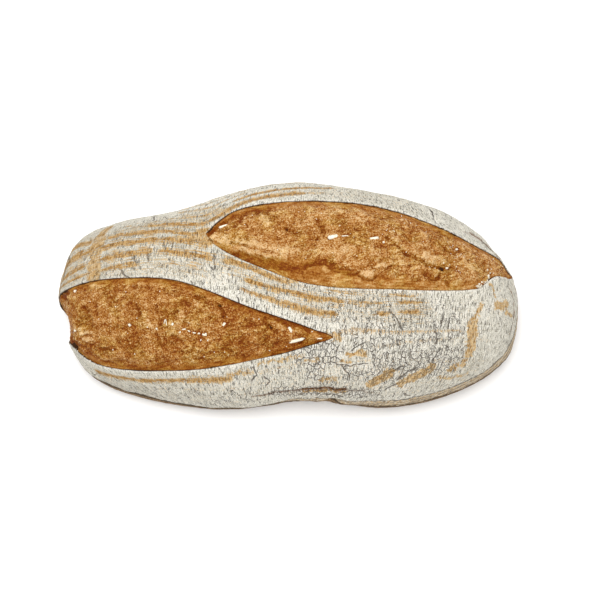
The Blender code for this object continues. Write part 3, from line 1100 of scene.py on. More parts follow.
def to_mesh(form: bmesh.types.BMesh, name: str) -> bpy.types.Mesh:
    """Turns a finished bmesh into a mesh, and frees it.

    Args:
        form: The bmesh.
        name: The mesh's name.

    Returns:
        The mesh.
    """
    mesh = bpy.data.meshes.new(name)
    form.to_mesh(mesh)
    form.free()
    return mesh


def finish_piece(name: str, mesh: bpy.types.Mesh, materials: Materials) -> bpy.types.Object:
    """Puts a finished mesh into the scene as a piece of the loaf.

    Args:
        name: The piece's name.
        mesh: Its mesh, in metres in the frame.
        materials: Its materials, in the order of its faces' indices.

    Returns:
        The piece.
    """
    for material in materials:
        mesh.materials.append(material)
    mesh.shade_smooth()
    piece = bpy.data.objects.new(name, mesh)
    bpy.context.scene.collection.objects.link(piece)
    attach(piece, BODY)
    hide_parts(NODE)
    mesh.calc_loop_triangles()
    LOG.info("%s: %d triangles", name, len(mesh.loop_triangles))
    return piece


def read_points(mesh: bpy.types.Mesh) -> Array:
    """Reads where a mesh's vertices are.

    Args:
        mesh: The mesh.

    Returns:
        Their places, one row each.
    """
    flat = np.empty(3 * len(mesh.vertices))
    mesh.vertices.foreach_get("co", flat)
    return flat.reshape(-1, 3)


def write_points(mesh: bpy.types.Mesh, points: Array) -> None:
    """Moves the mesh's vertices."""
    mesh.vertices.foreach_set("co", points.ravel())
    mesh.update()


def write_attribute(mesh: bpy.types.Mesh, name: str, values: Array) -> None:
    """Stores a number, or a vector of three, at each vertex.

    Args:
        mesh: The mesh.
        name: The attribute's name.
        values: The values, one row each.
    """
    vector = values.ndim == 2
    layer = mesh.attributes.new(name, "FLOAT_VECTOR" if vector else "FLOAT", "POINT")
    layer.data.foreach_set("vector" if vector else "value", values.astype(np.float32).ravel())


@dataclass(frozen=True)
class RingRun:
    """A stretch of one ring of the basket that shows as a bare line on the crust."""

    ring: int
    start: float
    end: float
    strength: float


@dataclass(frozen=True)
class BasketRings:
    """The rings that the basket's cane left on the crust, numbered from the back score's cut."""

    guides: tuple[tuple[float, tuple[Place, ...]], ...]
    runs: tuple[RingRun, ...]
    spacing: float = 8.0
    fade: float = 8.0
    back_ring: float = 4.5  # towards the back from here, every ring shows all along
    back_strength: float = 0.5
    front_ring: float = -6.5  # and towards the front from here
    front_strength: float = 0.1

    def number(self, p: Array, q: Array) -> Array:
        """Ring number at places on the map: whole on a ring, and between the guides in proportion.

        Args:
            p: Places on the map, along the loaf.
            q: Places on the map, across it.

        Returns:
            The ring number at each place.
        """
        rings = [ring for ring, _ in self.guides]
        lines = [curve_through(points, p) for _, points in self.guides]
        number = rings[0] + (q - lines[0]) / self.spacing
        for upper, lower, above, below in zip(rings, rings[1:], lines, lines[1:]):
            gap = np.maximum(above - below, 0.5)
            number = np.where(q < above, upper + (lower - upper) * (above - q) / gap, number)
        return np.where(q < lines[-1], rings[-1] - (lines[-1] - q) / self.spacing, number)

    def strength(self, p: Array, number: Array) -> Array:
        """How plainly the nearest ring shows.

        Args:
            p: Places on the map, along the loaf.
            number: Ring number there.

        Returns:
            0 where none shows to the strength of the plainest.
        """
        nearest = np.round(number)
        front = np.where(number < self.front_ring, self.front_strength, 0.0)
        shown = np.where(number > self.back_ring, self.back_strength, front)
        for run in self.runs:
            ends = ((p - run.start) / self.fade, (run.end - p) / self.fade)
            faded = smooth_step(ends[0] + 0.5) * smooth_step(ends[1] + 0.5)
            shown = np.where(nearest == run.ring, np.maximum(shown, run.strength * faded), shown)
        return shown


@dataclass(frozen=True)
class FlouredSkin:
    """The whole floured crust with its flat base, sunk where the scores have opened."""

    loaf: Loaf
    rings: BasketRings
    bare: tuple[Stroke, ...]
    cracks: tuple[Stroke, ...]
    folds: tuple[Stroke, ...]
    stretched: tuple[Stroke, ...]  # where splits run across the loaf
    crackled: tuple[Stroke, ...]  # where the flour broke into chips
    smooth: tuple[Stroke, ...]  # where it hardly broke
    thin: tuple[Stroke, ...]  # where the flour is thin all over
    clean: tuple[Stroke, ...]  # where flour covers the foot
    segments: tuple[int, int] = (424, 214)
    crowding: float = 0.16  # how much closer the grid is at the crown than at the base
    snap: float = 0.62
    wall_width: float = 1.1
    foot_height: float = 12.0  # height below which the fine relief fades
    inside_range: float = 6.0
    bare_range: float = 4.0
    crack_zone: Place = (0.8, 1.2)  # how far from a crack the skin starts to be whole, and over what width
    crack_softness: float = 1.5
    fold_softness: float = 2.0
    fold_shade: float = 1.2  # softness of a fold's colour
    usual_split: float = 0.55
    wander: tuple[tuple[float, float], ...] = ((6.0, 1.6), (2.2, 0.8))
    floor_gap: float = 2.5
    ring_height: float = 0.22
    crack_depth: float = 0.9
    fold_depth: float = 1.1
    skin_grains: tuple[tuple[float, float], ...] = ((14.0, 0.45), (5.0, 0.22), (2.2, 0.12))

    def build(self, materials: Materials) -> bpy.types.Object:
        """Builds the skin.

        Args:
            materials: The crust's and the base's material.

        Returns:
            The piece.
        """
        mesh = self.closed_grid()
        u, v, _ = read_points(mesh).T
        u, v = (a * (1 - self.crowding + self.crowding * a * a) for a in (u, v))
        shape, relief = self.loaf.shape, self.loaf.relief
        points, normals = shape.on_grid(u, v)
        p, q = shape.place_of_disc(*shape.disc_of_grid(u, v))
        p, q, moved = self.snapped(p, q)
        points[moved], normals[moved] = shape.on_map(p[moved], q[moved])
        insides = self.loaf.insides(p, q)
        number = self.rings.number(p, q)
        shown = self.rings.strength(p, number)
        rise = relief.body(p, q, points, insides)
        foot = smooth_step(points[:, 2] / self.foot_height)
        rise = rise + foot * self.fine_relief(p, q, points, number, shown)
        for score, inside in zip(self.loaf.scores, insides):
            sunk = relief.opened(score, np.clip(p, *score.ends), q, rise, inside) - self.floor_gap
            into = smooth_step(inside / self.wall_width)
            rise = rise + (sunk - rise) * into
        write_points(mesh, self.loaf.metres(points + normals * rise[:, None]))
        inside = np.clip(np.max(insides, axis=0), -self.inside_range, self.inside_range)
        self.write_attributes(mesh, p, q, points[:, 2], number, shown, inside)
        return finish_piece("floured_skin", mesh, materials)

    def closed_grid(self) -> bpy.types.Mesh:
        """A square grid whose border is filled by one face, the base, with the second material.

        Returns:
            Its mesh, still flat.
        """
        grid = bmesh.new()
        bmesh.ops.create_grid(grid, x_segments=self.segments[0], y_segments=self.segments[1], size=1.0)
        rim = [edge for edge in grid.edges if edge.is_boundary]
        base = bmesh.ops.edgeloop_fill(grid, edges=rim, mat_nr=1)["faces"]
        bmesh.ops.reverse_faces(grid, faces=[face for face in base if face.normal.z > 0])
        return to_mesh(grid, "floured_skin")

    def snapped(self, p: Array, q: Array) -> tuple[Array, Array, Array]:
        """Moves the places nearest to a score's outline onto it, so that its lip is a clean line.

        Args:
            p: Places on the map, along the loaf.
            q: Places on the map, across it.

        Returns:
            The places, and which of them moved.
        """
        moved = np.zeros(p.shape, bool)
        for score in self.loaf.scores:
            inside, foot_p, foot_q = score.inside(p, q)
            near = np.abs(inside) < self.snap
            p, q = np.where(near, foot_p, p), np.where(near, foot_q, q)
            moved |= near
        return p, q, moved

    def fine_relief(self, p: Array, q: Array, points: Array, number: Array, shown: Array) -> Array:
        """Small unevenness of the skin, the basket's rings, the long cracks and the folds at its foot.

        Args:
            p: Places on the map, along the loaf.
            q: Places on the map, across it.
            points: The same places on the plain dome.
            number: Ring numbers.
            shown: How plainly the nearest ring shows.

        Returns:
            The rise at each place.
        """
        rise = sum(height * grain(points, size) for size, height in self.skin_grains)
        rise = rise - self.ring_height * np.cos(2 * math.pi * number) * np.clip(shown + 0.3, 0.0, 1.0)
        rise = rise - self.crack_depth * brushed(self.cracks, p, q, self.crack_softness)
        return rise - self.fold_depth * brushed(self.folds, p, q, self.fold_softness)

    def write_attributes(
        self,
        mesh: bpy.types.Mesh,
        p: Array,
        q: Array,
        height: Array,
        number: Array,
        shown: Array,
        inside: Array,
    ) -> None:
        """Stores what the crust's material reads: where rings, cracks, bare places and scores are.

        Args:
            mesh: The skin's mesh.
            p: Places on the map, along the loaf.
            q: Places on the map, across it.
            height: Height over the base.
            number: Ring numbers.
            shown: How plainly the nearest ring shows.
            inside: Distance inside the nearest score.
        """
        flat = np.stack((p, q, np.zeros(p.shape)), axis=-1)
        p = p + sum(push * grain(flat, size) for size, push in self.wander)
        q = q + sum(push * grain(flat + ELSEWHERE, size) for size, push in self.wander)
        bare = np.full(p.shape, -self.bare_range)
        for stroke in self.bare:
            bare = np.maximum(bare, stroke.strength * (stroke.half_width - stroke.measure(p, q)[0]))
        side, nearest = np.full(p.shape, FAR), np.full(p.shape, FAR)
        for stroke in self.cracks:
            away, signed = stroke.measure(p, q)
            side = np.where(away < nearest, signed / stroke.half_width, side)
            nearest = np.minimum(nearest, away)
        whole_from, fade = self.crack_zone
        split = self.usual_split + brushed(self.stretched, p, q) - brushed(self.smooth, p, q)
        values = {
            "map": flat,
            "ring": number,
            "ring_show": shown,
            "bare": bare,
            "crack_side": side,
            "crack_near": 1 - smooth_step((nearest - whole_from) / fade),
            "fold": brushed(self.folds, p, q, self.fold_shade),
            "split": split,
            "net": brushed(self.crackled, p, q) - brushed(self.smooth, p, q),
            "foot": height,
            "thin": brushed(self.thin, p, q),
            "clean": brushed(self.clean, p, q),
            "rows": np.stack((p, number * self.rings.spacing, np.zeros(p.shape)), axis=-1),
            "inside": inside,
        }
        for name, value in values.items():
            write_attribute(mesh, name, value)


@dataclass(frozen=True)
class OpenedBread:
    """The bread that shows in one score, as a thick sheet that reaches under the skin's lips."""

    loaf: Loaf
    score: Score
    segments: tuple[int, int] = (500, 150)
    depth: float = 6.0
    bubble_size: float = 2.8
    bubble_height: float = 0.9
    strand_size: float = 2.0
    strand_stretch: float = 6.0
    strand_height: float = 0.35
    ridge_size: float = 4.2
    ridge_shift: float = 31.0  # moves the ridges' noise along
    ridge_height: float = 0.7
    usual_bubble: float = 0.4  # mean of the blisters' pattern, which their height is measured from
    usual_ridge: float = 0.6
    torn_strands: float = 0.3  # how much of the strands is left on the torn middle
    band_grain: float = 0.4  # how much of the grain there is on the smooth bands
    grain_size: float = 1.1
    grain_height: float = 0.35
    shelf_share: float = 0.25
    wander: tuple[tuple[float, float], ...] = ((5.0, 1.1), (1.8, 0.8))
    sunk_softness: float = 0.8
    raised_softness: float = 0.9
    back_burn_and_shade: Size = (0.3, 1.3, 0.95)  # where the dark edge fades, over what width, and its strength; the edge is burnt crust and painted shade under the lip
    front_margin: Size = (0.2, 1.0, 0.4)
    sunk_depth: float = 1.3
    raised_height: float = 0.9
    # Crests of the fine relief are paler and its hollows darker: painted light and shade.
    relief_light_and_shade_tint: float = 0.15
    sunk_burn_and_shade_tint: float = 0.36
    # how much darker sunk strokes are: burnt crust and painted shade
    raised_tint: float = 0.3

    def marks(self, p: Array, q: Array, points: Array) -> tuple[Array, Array]:
        """How strongly the score's sunk and raised strokes cover places, with uneven edges.

        Args:
            p: Places on the map, along the loaf.
            q: Places on the map, across it.
            points: The same places on the plain dome.

        Returns:
            The cover of the sunk strokes, and that of the raised ones.
        """
        p = p + sum(push * grain(points, size) for size, push in self.wander)
        q = q + sum(push * grain(points + ELSEWHERE, size) for size, push in self.wander)
        sunk = brushed(self.score.sunk, p, q, self.sunk_softness)
        return sunk, brushed(self.score.raised, p, q, self.raised_softness)

    def edge(self, away: Array, start: float, width: float, strength: float) -> Array:
        """How dark the bread is near a lip, from its distance: burnt crust and painted shade under the lip.
        """
        return (1 - smooth_step((away - start) / width)) * strength

    def relief(self, p: Array, q: Array, points: Array, torn: Array) -> Array:
        """Crags, blisters and strands of the bread above its broad form.

        Args:
            p: Places on the map, along the loaf.
            q: Places on the map, across it.
            points: The same places on the plain dome.
            torn: 1 on the torn middle, 0 on the smooth bands.

        Returns:
            The rise at each place.
        """
        share = self.shelf_share + (1 - self.shelf_share) * torn
        crags = sum(height * grain(points, size) for size, height in self.loaf.relief.crags)
        flat = np.stack((p, q, np.zeros(p.shape)), axis=-1)
        strands = grain(flat, self.strand_size, (self.strand_stretch, 1.0, 1.0))
        ridges = 1 - 2 * np.abs(grain(points + self.ridge_shift, self.ridge_size))
        lumps = self.bubble_height * (bubbles(points, self.bubble_size) - self.usual_bubble)
        lumps = lumps + self.ridge_height * (ridges - self.usual_ridge)
        strands = self.strand_height * strands * (1 - (1 - self.torn_strands) * torn)
        grains = self.grain_height * grain(points, self.grain_size)
        return (crags + lumps) * share + strands + grains * (self.band_grain + (1 - self.band_grain) * torn)

    def surface(self, p: Array, q: Array) -> tuple[Array, Array, dict[str, Array]]:
        """The bread's surface.

        Args:
            p: Places on the map, along the loaf.
            q: Places on the map, across it.

        Returns:
            Points, normals of the plain dome, and the values that the material reads.
        """
        relief, score = self.loaf.relief, self.score
        points, normals = self.loaf.shape.on_map(p, q)
        insides = self.loaf.insides(p, q)
        inside = insides[self.loaf.scores.index(score)]
        broad = relief.opened(score, p, q, relief.body(p, q, points, insides), inside)
        torn = relief.torn(score, p, q)
        fine = self.relief(p, q, points, torn)
        sunk, raised = self.marks(p, q, points)
        back, front = score.edges(p)
        lip_burn_and_shade = self.edge(back - q, *self.back_burn_and_shade) + self.edge(q - front, *self.front_margin)
        middle = 0.5 * (back + front)
        flow = np.where(q > middle, q - back, q - front)
        values = {
            "map": np.stack((p, q, np.zeros(p.shape)), axis=-1),
            "flow": np.stack((p, flow, np.zeros(p.shape)), axis=-1),
            "height": np.clip(score.toast + self.relief_light_and_shade_tint * fine, 0.0, 1.0),
            "torn": torn,
            "relief_tint_and_shade": self.raised_tint * raised - self.sunk_burn_and_shade_tint * sunk,
            "lip_burn_and_shade": np.clip(lip_burn_and_shade, 0.0, 1.0),
        }
        rise = broad + fine + self.raised_height * raised - self.sunk_depth * sunk
        return points + normals * rise[:, None], normals, values

    def build(self, materials: Materials) -> bpy.types.Object:
        """Builds the bread of this score.

        Args:
            materials: Its material.

        Returns:
            The piece.
        """
        grid = bmesh.new()
        bmesh.ops.create_grid(grid, x_segments=self.segments[0], y_segments=self.segments[1], size=1.0)
        rim = [edge for edge in grid.edges if edge.is_boundary]
        skirt = bmesh.ops.extrude_edge_only(grid, edges=rim)["geom"]
        lower = [item for item in skirt if isinstance(item, bmesh.types.BMVert)]
        bmesh.ops.translate(grid, verts=lower, vec=(0.0, 0.0, Sheet.UNDER.value))
        bmesh.ops.edgeloop_fill(grid, edges=[edge for edge in grid.edges if edge.is_boundary])
        bmesh.ops.recalc_face_normals(grid, faces=grid.faces)
        name = f"opened_bread_{self.score.name}"
        mesh = to_mesh(grid, name)
        u, v, level = read_points(mesh).T
        first, last = self.score.ends
        p = first + (last - first) * 0.5 * (1 + np.sin(0.5 * math.pi * np.clip(u, -1.0, 1.0)))
        back, front = self.score.edges(p)
        q = front + (back - front) * 0.5 * (1 + v)
        points, normals, values = self.surface(p, q)
        under = level < 0.5 * (Sheet.TOP.value + Sheet.UNDER.value)
        points = points - normals * np.where(under, self.depth, 0.0)[:, None]
        write_points(mesh, self.loaf.metres(points))
        for label, value in values.items():
            write_attribute(mesh, label, value)
        return finish_piece(name, mesh, materials)


@dataclass(frozen=True)
class Chip:
    """One flake of flour that sticks to the opened bread."""

    place: Place
    length: float
    width: float
    turn: float  # degrees from the loaf's length


@dataclass(frozen=True)
class FlourFlakes:
    """Flakes and crumbs of flour on the opened bread."""

    breads: tuple[OpenedBread, ...]
    chips: tuple[Chip, ...]
    seed: int = 7
    crumbs: int = 64
    crumb_size: Place = (0.5, 1.0)
    end_gaps: Place = (25.0, 14.0)  # length of a score's two ends that has no crumbs
    across: Place = (0.15, 0.85)  # where crumbs lie over a score's width
    dust_size: Place = (0.5, 1.0)  # over the largest
    roundness: Place = (0.5, 1.0)  # a crumb's width over its length
    dust: tuple[tuple[float, float, float, int, float], ...] = (  # p, q, spread, number of crumbs, largest
        (64.0, 37.0, 3.0, 9, 0.9),
        (110.0, 19.0, 5.0, 14, 0.9),
        (109.0, 27.0, 3.5, 8, 0.9),
        (77.0, 49.0, 3.5, 8, 0.9),
        (132.0, 3.2, 2.2, 22, 1.5),
        (140.0, 9.0, 2.6, 26, 1.7),
    )
    squareness: float = 0.45  # 1 for an oval flake, towards 0 for a square one
    thickness: float = 0.9
    stoutness: float = 0.6  # a narrow flake's height over its width
    sides: int = 8
    radii: Place = (0.5, 0.36)  # of a flake of 1 at its foot and its top
    length_spread: Place = (0.85, 1.15)
    width_spread: Place = (1.0, 1.45)
    height_spread: Place = (0.7, 1.3)
    rise: float = 0.3  # how far a flake's middle is above the bread, over its height

    def build(self, materials: Materials) -> bpy.types.Object:
        """Builds every flake as one piece.

        Args:
            materials: Their material.

        Returns:
            The piece.
        """
        draw = np.random.default_rng(self.seed)
        flakes = bmesh.new()
        for chip in (*self.chips, *self.scattered(draw)):
            self.add_chip(flakes, chip, draw)
        return finish_piece("flour_flakes", to_mesh(flakes, "flour_flakes"), materials)

    def crumb(self, place: Place, size: float, draw: np.random.Generator) -> Chip:
        """One crumb of a size, turned anyhow."""
        return Chip(place, size, size * draw.uniform(*self.roundness), draw.uniform(0.0, 180.0))

    def scattered(self, draw: np.random.Generator) -> list[Chip]:
        """Crumbs strewn over the opened bread, and dust where the photo's flour broke up.

        Args:
            draw: Source of their places and sizes.

        Returns:
            The crumbs.
        """
        chips = []
        for number in range(self.crumbs):
            score = self.breads[number % len(self.breads)].score
            p = draw.uniform(score.ends[0] + self.end_gaps[0], score.ends[1] - self.end_gaps[1])
            back, front = (float(edge) for edge in score.edges(np.array(p)))
            q = front + (back - front) * draw.uniform(*self.across)
            chips.append(self.crumb((p, q), draw.uniform(*self.crumb_size), draw))
        for middle_p, middle_q, spread, count, largest in self.dust:
            for _ in range(count):
                place = (middle_p + spread * draw.normal(), middle_q + spread * draw.normal())
                chips.append(self.crumb(place, draw.uniform(*self.dust_size) * largest, draw))
        return chips

    def add_chip(self, flakes: bmesh.types.BMesh, chip: Chip, draw: np.random.Generator) -> None:
        """Adds one flake: an uneven little plate, lying on the bread.

        Args:
            flakes: The mesh it is added to.
            chip: Its place and size.
            draw: Source of its unevenness.
        """
        p, q = np.array([float(chip.place[0])]), np.array([float(chip.place[1])])
        bread = max(self.breads, key=lambda candidate: candidate.score.inside(p, q)[0][0])
        points, normals, _ = bread.surface(np.append(p, p + 1.0), np.append(q, q))
        height = min(self.thickness, self.stoutness * chip.width)
        foot, top = self.radii
        plate = bmesh.ops.create_cone(
            flakes, cap_ends=True, segments=self.sides, radius1=foot, radius2=top, depth=height
        )["verts"]
        for vertex in plate:
            radius = math.hypot(vertex.co.x, vertex.co.y)
            x, y = (math.copysign(radius * abs(a / radius) ** self.squareness, a) for a in vertex.co.xy)
            vertex.co.x = x * chip.length * draw.uniform(*self.length_spread)
            vertex.co.y = y * chip.width * draw.uniform(*self.width_spread)
            vertex.co.z *= draw.uniform(*self.height_spread)
        up = Vector(normals[0])
        across = up.cross(Vector(points[1] - points[0])).normalized()
        upright = Matrix((across.cross(up), across, up)).transposed().to_4x4()
        turned = Matrix.Rotation(math.radians(chip.turn), 4, "Z")
        lift = Matrix.Translation((0.0, 0.0, self.rise * height))
        at = Matrix.Translation(Vector(bread.loaf.metres(points)[0]))
        bmesh.ops.transform(flakes, verts=plate, matrix=at @ upright @ Matrix.Scale(MM, 4) @ turned @ lift)


@dataclass(frozen=True)
class Studio:
    """A pale floor, soft lights and the camera, at the angle from which the loaf is seen."""

    elevation: float = 78.0
    distance: float = 1.25  # metres
    lens: float = 106.43
    sensor: float = 36.0
    aim_height: float = 30.0
    floor_size: float = 6.0  # metres
    floor_gap: float = 0.1
    world_strength: float = 1.15
    key_place: Size = (-0.15, 0.15, 1.25)  # metres
    key_size: float = 0.7  # metres
    key_watts: float = 9.8

    def build(self, middle: Place) -> None:
        """Builds floor, lights, world and camera.

        Args:
            middle: The crown's distance from the middle of the loaf, along and across it.
        """
        aim = Vector((-middle[0] * MM, -middle[1] * MM, self.aim_height * MM))
        self.add_floor()
        self.add_world()
        self.add_light("key", self.key_place, self.key_size, self.key_watts, aim)
        self.add_camera(aim)

    def add_floor(self) -> None:
        """A matt pale floor just under the loaf."""
        grid = bmesh.new()
        bmesh.ops.create_grid(grid, x_segments=8, y_segments=8, size=0.5 * self.floor_size)
        bmesh.ops.translate(grid, verts=grid.verts, vec=(0.0, 0.0, SOLID_BOX[0][2] - self.floor_gap * MM))
        mesh = to_mesh(grid, "floor")
        mesh.materials.append(StudioFloor().material())
        floor = bpy.data.objects.new("floor", mesh)
        bpy.context.scene.collection.objects.link(floor)

    def add_world(self) -> None:
        """Even white light from all round."""
        world = bpy.data.worlds.new("studio")
        world.use_nodes = True
        background = world.node_tree.nodes["Background"]
        background.inputs["Color"].default_value = (1.0, 1.0, 1.0, 1.0)
        background.inputs["Strength"].default_value = self.world_strength
        bpy.context.scene.world = world
        bpy.context.scene.view_settings.view_transform = "Standard"

    def add_light(self, name: str, place: Size, size: float, watts: float, aim: Vector) -> None:
        """A square soft light that points at the loaf.

        Args:
            name: Its name.
            place: Where it stands, in metres.
            size: Its side, in metres.
            watts: Its power.
            aim: What it points at.
        """
        data = bpy.data.lights.new(name, "AREA")
        data.size = size
        data.energy = watts
        light = bpy.data.objects.new(name, data)
        light.location = place
        light.rotation_euler = (aim - Vector(place)).to_track_quat("-Z", "Y").to_euler()
        bpy.context.scene.collection.objects.link(light)

    def add_camera(self, aim: Vector) -> None:
        """The camera, looking down on the loaf from a little towards its front.

        Args:
            aim: What it points at.
        """
        tilt = math.radians(self.elevation)
        back = Vector((0.0, -math.cos(tilt), math.sin(tilt)))
        data = bpy.data.cameras.new("camera")
        data.lens = self.lens
        data.sensor_width = self.sensor
        camera = bpy.data.objects.new("camera", data)
        camera.location = aim + back * self.distance
        camera.rotation_euler = (math.radians(90.0 - self.elevation), 0.0, 0.0)
        bpy.context.scene.collection.objects.link(camera)
        bpy.context.scene.camera = camera


# The two scores, with their edges, creases and blisters as places on the map
BACK_SCORE = Score(
    name="back",
    back_edge=(
        (-66, 39), (-61, 45.7), (-57, 49.9), (-51, 55.2), (-43, 59), (-29, 62), (-14, 64), (20, 64.5),
        (67, 58), (103, 48), (130, 38), (152, 32), (182, 19),
    ),
    front_edge=(
        (-66, 38), (-60, 30.6), (-55, 26.5), (-48, 22), (-34, 14.6), (-17, 7), (-7, 2.8), (4, -0.4),
        (19, -3), (62, -4.5), (103, -3.5), (121, -1.5), (131, 1.0), (138, 6), (145, 10.5), (160, 13),
        (182, 17),
    ),
    front_shelf=(
        (-66, 38), (-45, 26), (-26, 19.5), (-7, 16.5), (14, 14), (32, 8), (60, 4), (100, 2.5), (134, 8),
        (182, 22),
    ),
    back_shelf=4.0,
    back_lip=0.9,
    front_lip=1.8,
    toast=0.28,
    sunk=(
        # Painted shade under the ledge at the front left, and dark streaks along it
        *strokes(3.6, 0.75, ((-57, 27), (-47, 22.5), (-37, 18.5), (-24, 15), (-11, 12.5), (0, 11))),
        *strokes(
            1.0, 0.8, ((-62.5, 34.2), (-52, 26.6), (-40, 18.8), (-28, 12.2)),
            ((-47, 30.2), (-37.6, 27), (-28.6, 23.8), (-21, 21.8), (-13.6, 18.9)),
            ((-28.4, 17.2), (-18.6, 12.6), (-7.4, 9.4), (2.2, 7.3)),
        ),
        *strokes(
            1.6, 1.0, ((-55, 39.8), (-45, 42.4), (-41, 47.2)),
            ((-5, 9.5), (0, 11.5), (8, 12), (16, 14), (22, 11), (32, 8.6)),
            ((86, 5.4), (93, 3.7), (96, 5.3)),
        ),
        *strokes(1.5, 1.0, ((80.7, 16.1), (86, 13.6), (95, 11.3), (99, 10.6))),
        *strokes(1.2, 1.15, ((59, 31.5), (66.2, 25.8), (72, 20.4), (80.7, 16.1), (90, 12.6))),
        *strokes(2.6, 0.9, ((-62, 41), (-56, 45.5), (-47, 50.5), (-36, 54.5), (-23, 56))),
        *strokes(
            0.8, 0.9, ((40, 4.5), (43, 1.8), (48, 1.6), (51, 4.2)), ((47, 11.6), (50, 9.6)),
            ((58, 9.4), (62, 11.2)),
        ),
        *strokes(
            1.2, 0.8, ((20, 10.4), (27, 7.5), (35, 4.8), (39, 6.2)), ((29, 14.6), (27, 11.8)),
            ((101, 11.6), (110, 11.7)), ((77, 2.1), (81, 3)), ((102, 2.1), (104, 0.1)),
            ((98, 31), (103, 26.7), (109, 23.3)), ((-27, 55.2), (-22, 51.3)), ((-7, 18.6), (-6, 15)),
            ((-10, 39), (0, 34.1)), ((12, 45.1), (16, 37), (16, 32.3)), ((4, 35.5), (12, 30.8)),
            ((128, 34.3), (135, 31.4)),
        ),
        *strokes(
            1.6, 0.4, ((-10, 8.1), (0, 5.8), (20, 2)), ((68, 6), (77, 8.5)), ((84, 43), (90, 41.1)),
            ((70, 41.4), (72, 38.2)), ((102, 43), (106, 40)), ((108, 36.7), (111, 34.6)),
            ((40, 58.6), (51, 53.5)), ((112, 26.2), (117, 24.6)),
        ),
    ),
    raised=(
        *strokes(4.6, 1.1, ((-60, 34), (-52, 31), (-41, 27.6), (-28, 24.5), (-16, 21), (-8, 19.5))),
        *strokes(
            3.2, 0.6, ((-10, 23.8), (0, 19.2), (12, 21.9), (27, 21.8), (38, 23.4)),
            ((-25, 46.2), (-14, 34.4)),
        ),
        *strokes(3.4, 0.4, ((-6, 6.5), (10, 3), (25, 0.6), (62, -1), (103, -0.4), (122, 2.2))),
        *strokes(3.0, 1.3, ((43.5, 5.2), (47, 5.4)), ((86, 18.5), (92, 17.3), (98, 16.3))),
        *strokes(
            1.4, 1.0, ((30, 11.1), (33, 10.4)), ((17, 8.3), (19, 7.6)), ((52, 12), (57, 10.7)),
            ((-5, 14.3), (3, 13.4)),
        ),
        *strokes(
            2.2, 0.6, ((-36, 45.2), (-31, 41.5)), ((127, 14.6), (138, 11.2)), ((116, 19.5), (122, 12.4)),
            ((66, 30.4), (70, 25.3), (77, 18.9)), ((27, 53.2), (29, 53.2)), ((38, 25.6), (42, 22)),
            ((6, 42.6), (8, 42.6)),
        ),
    ),
)

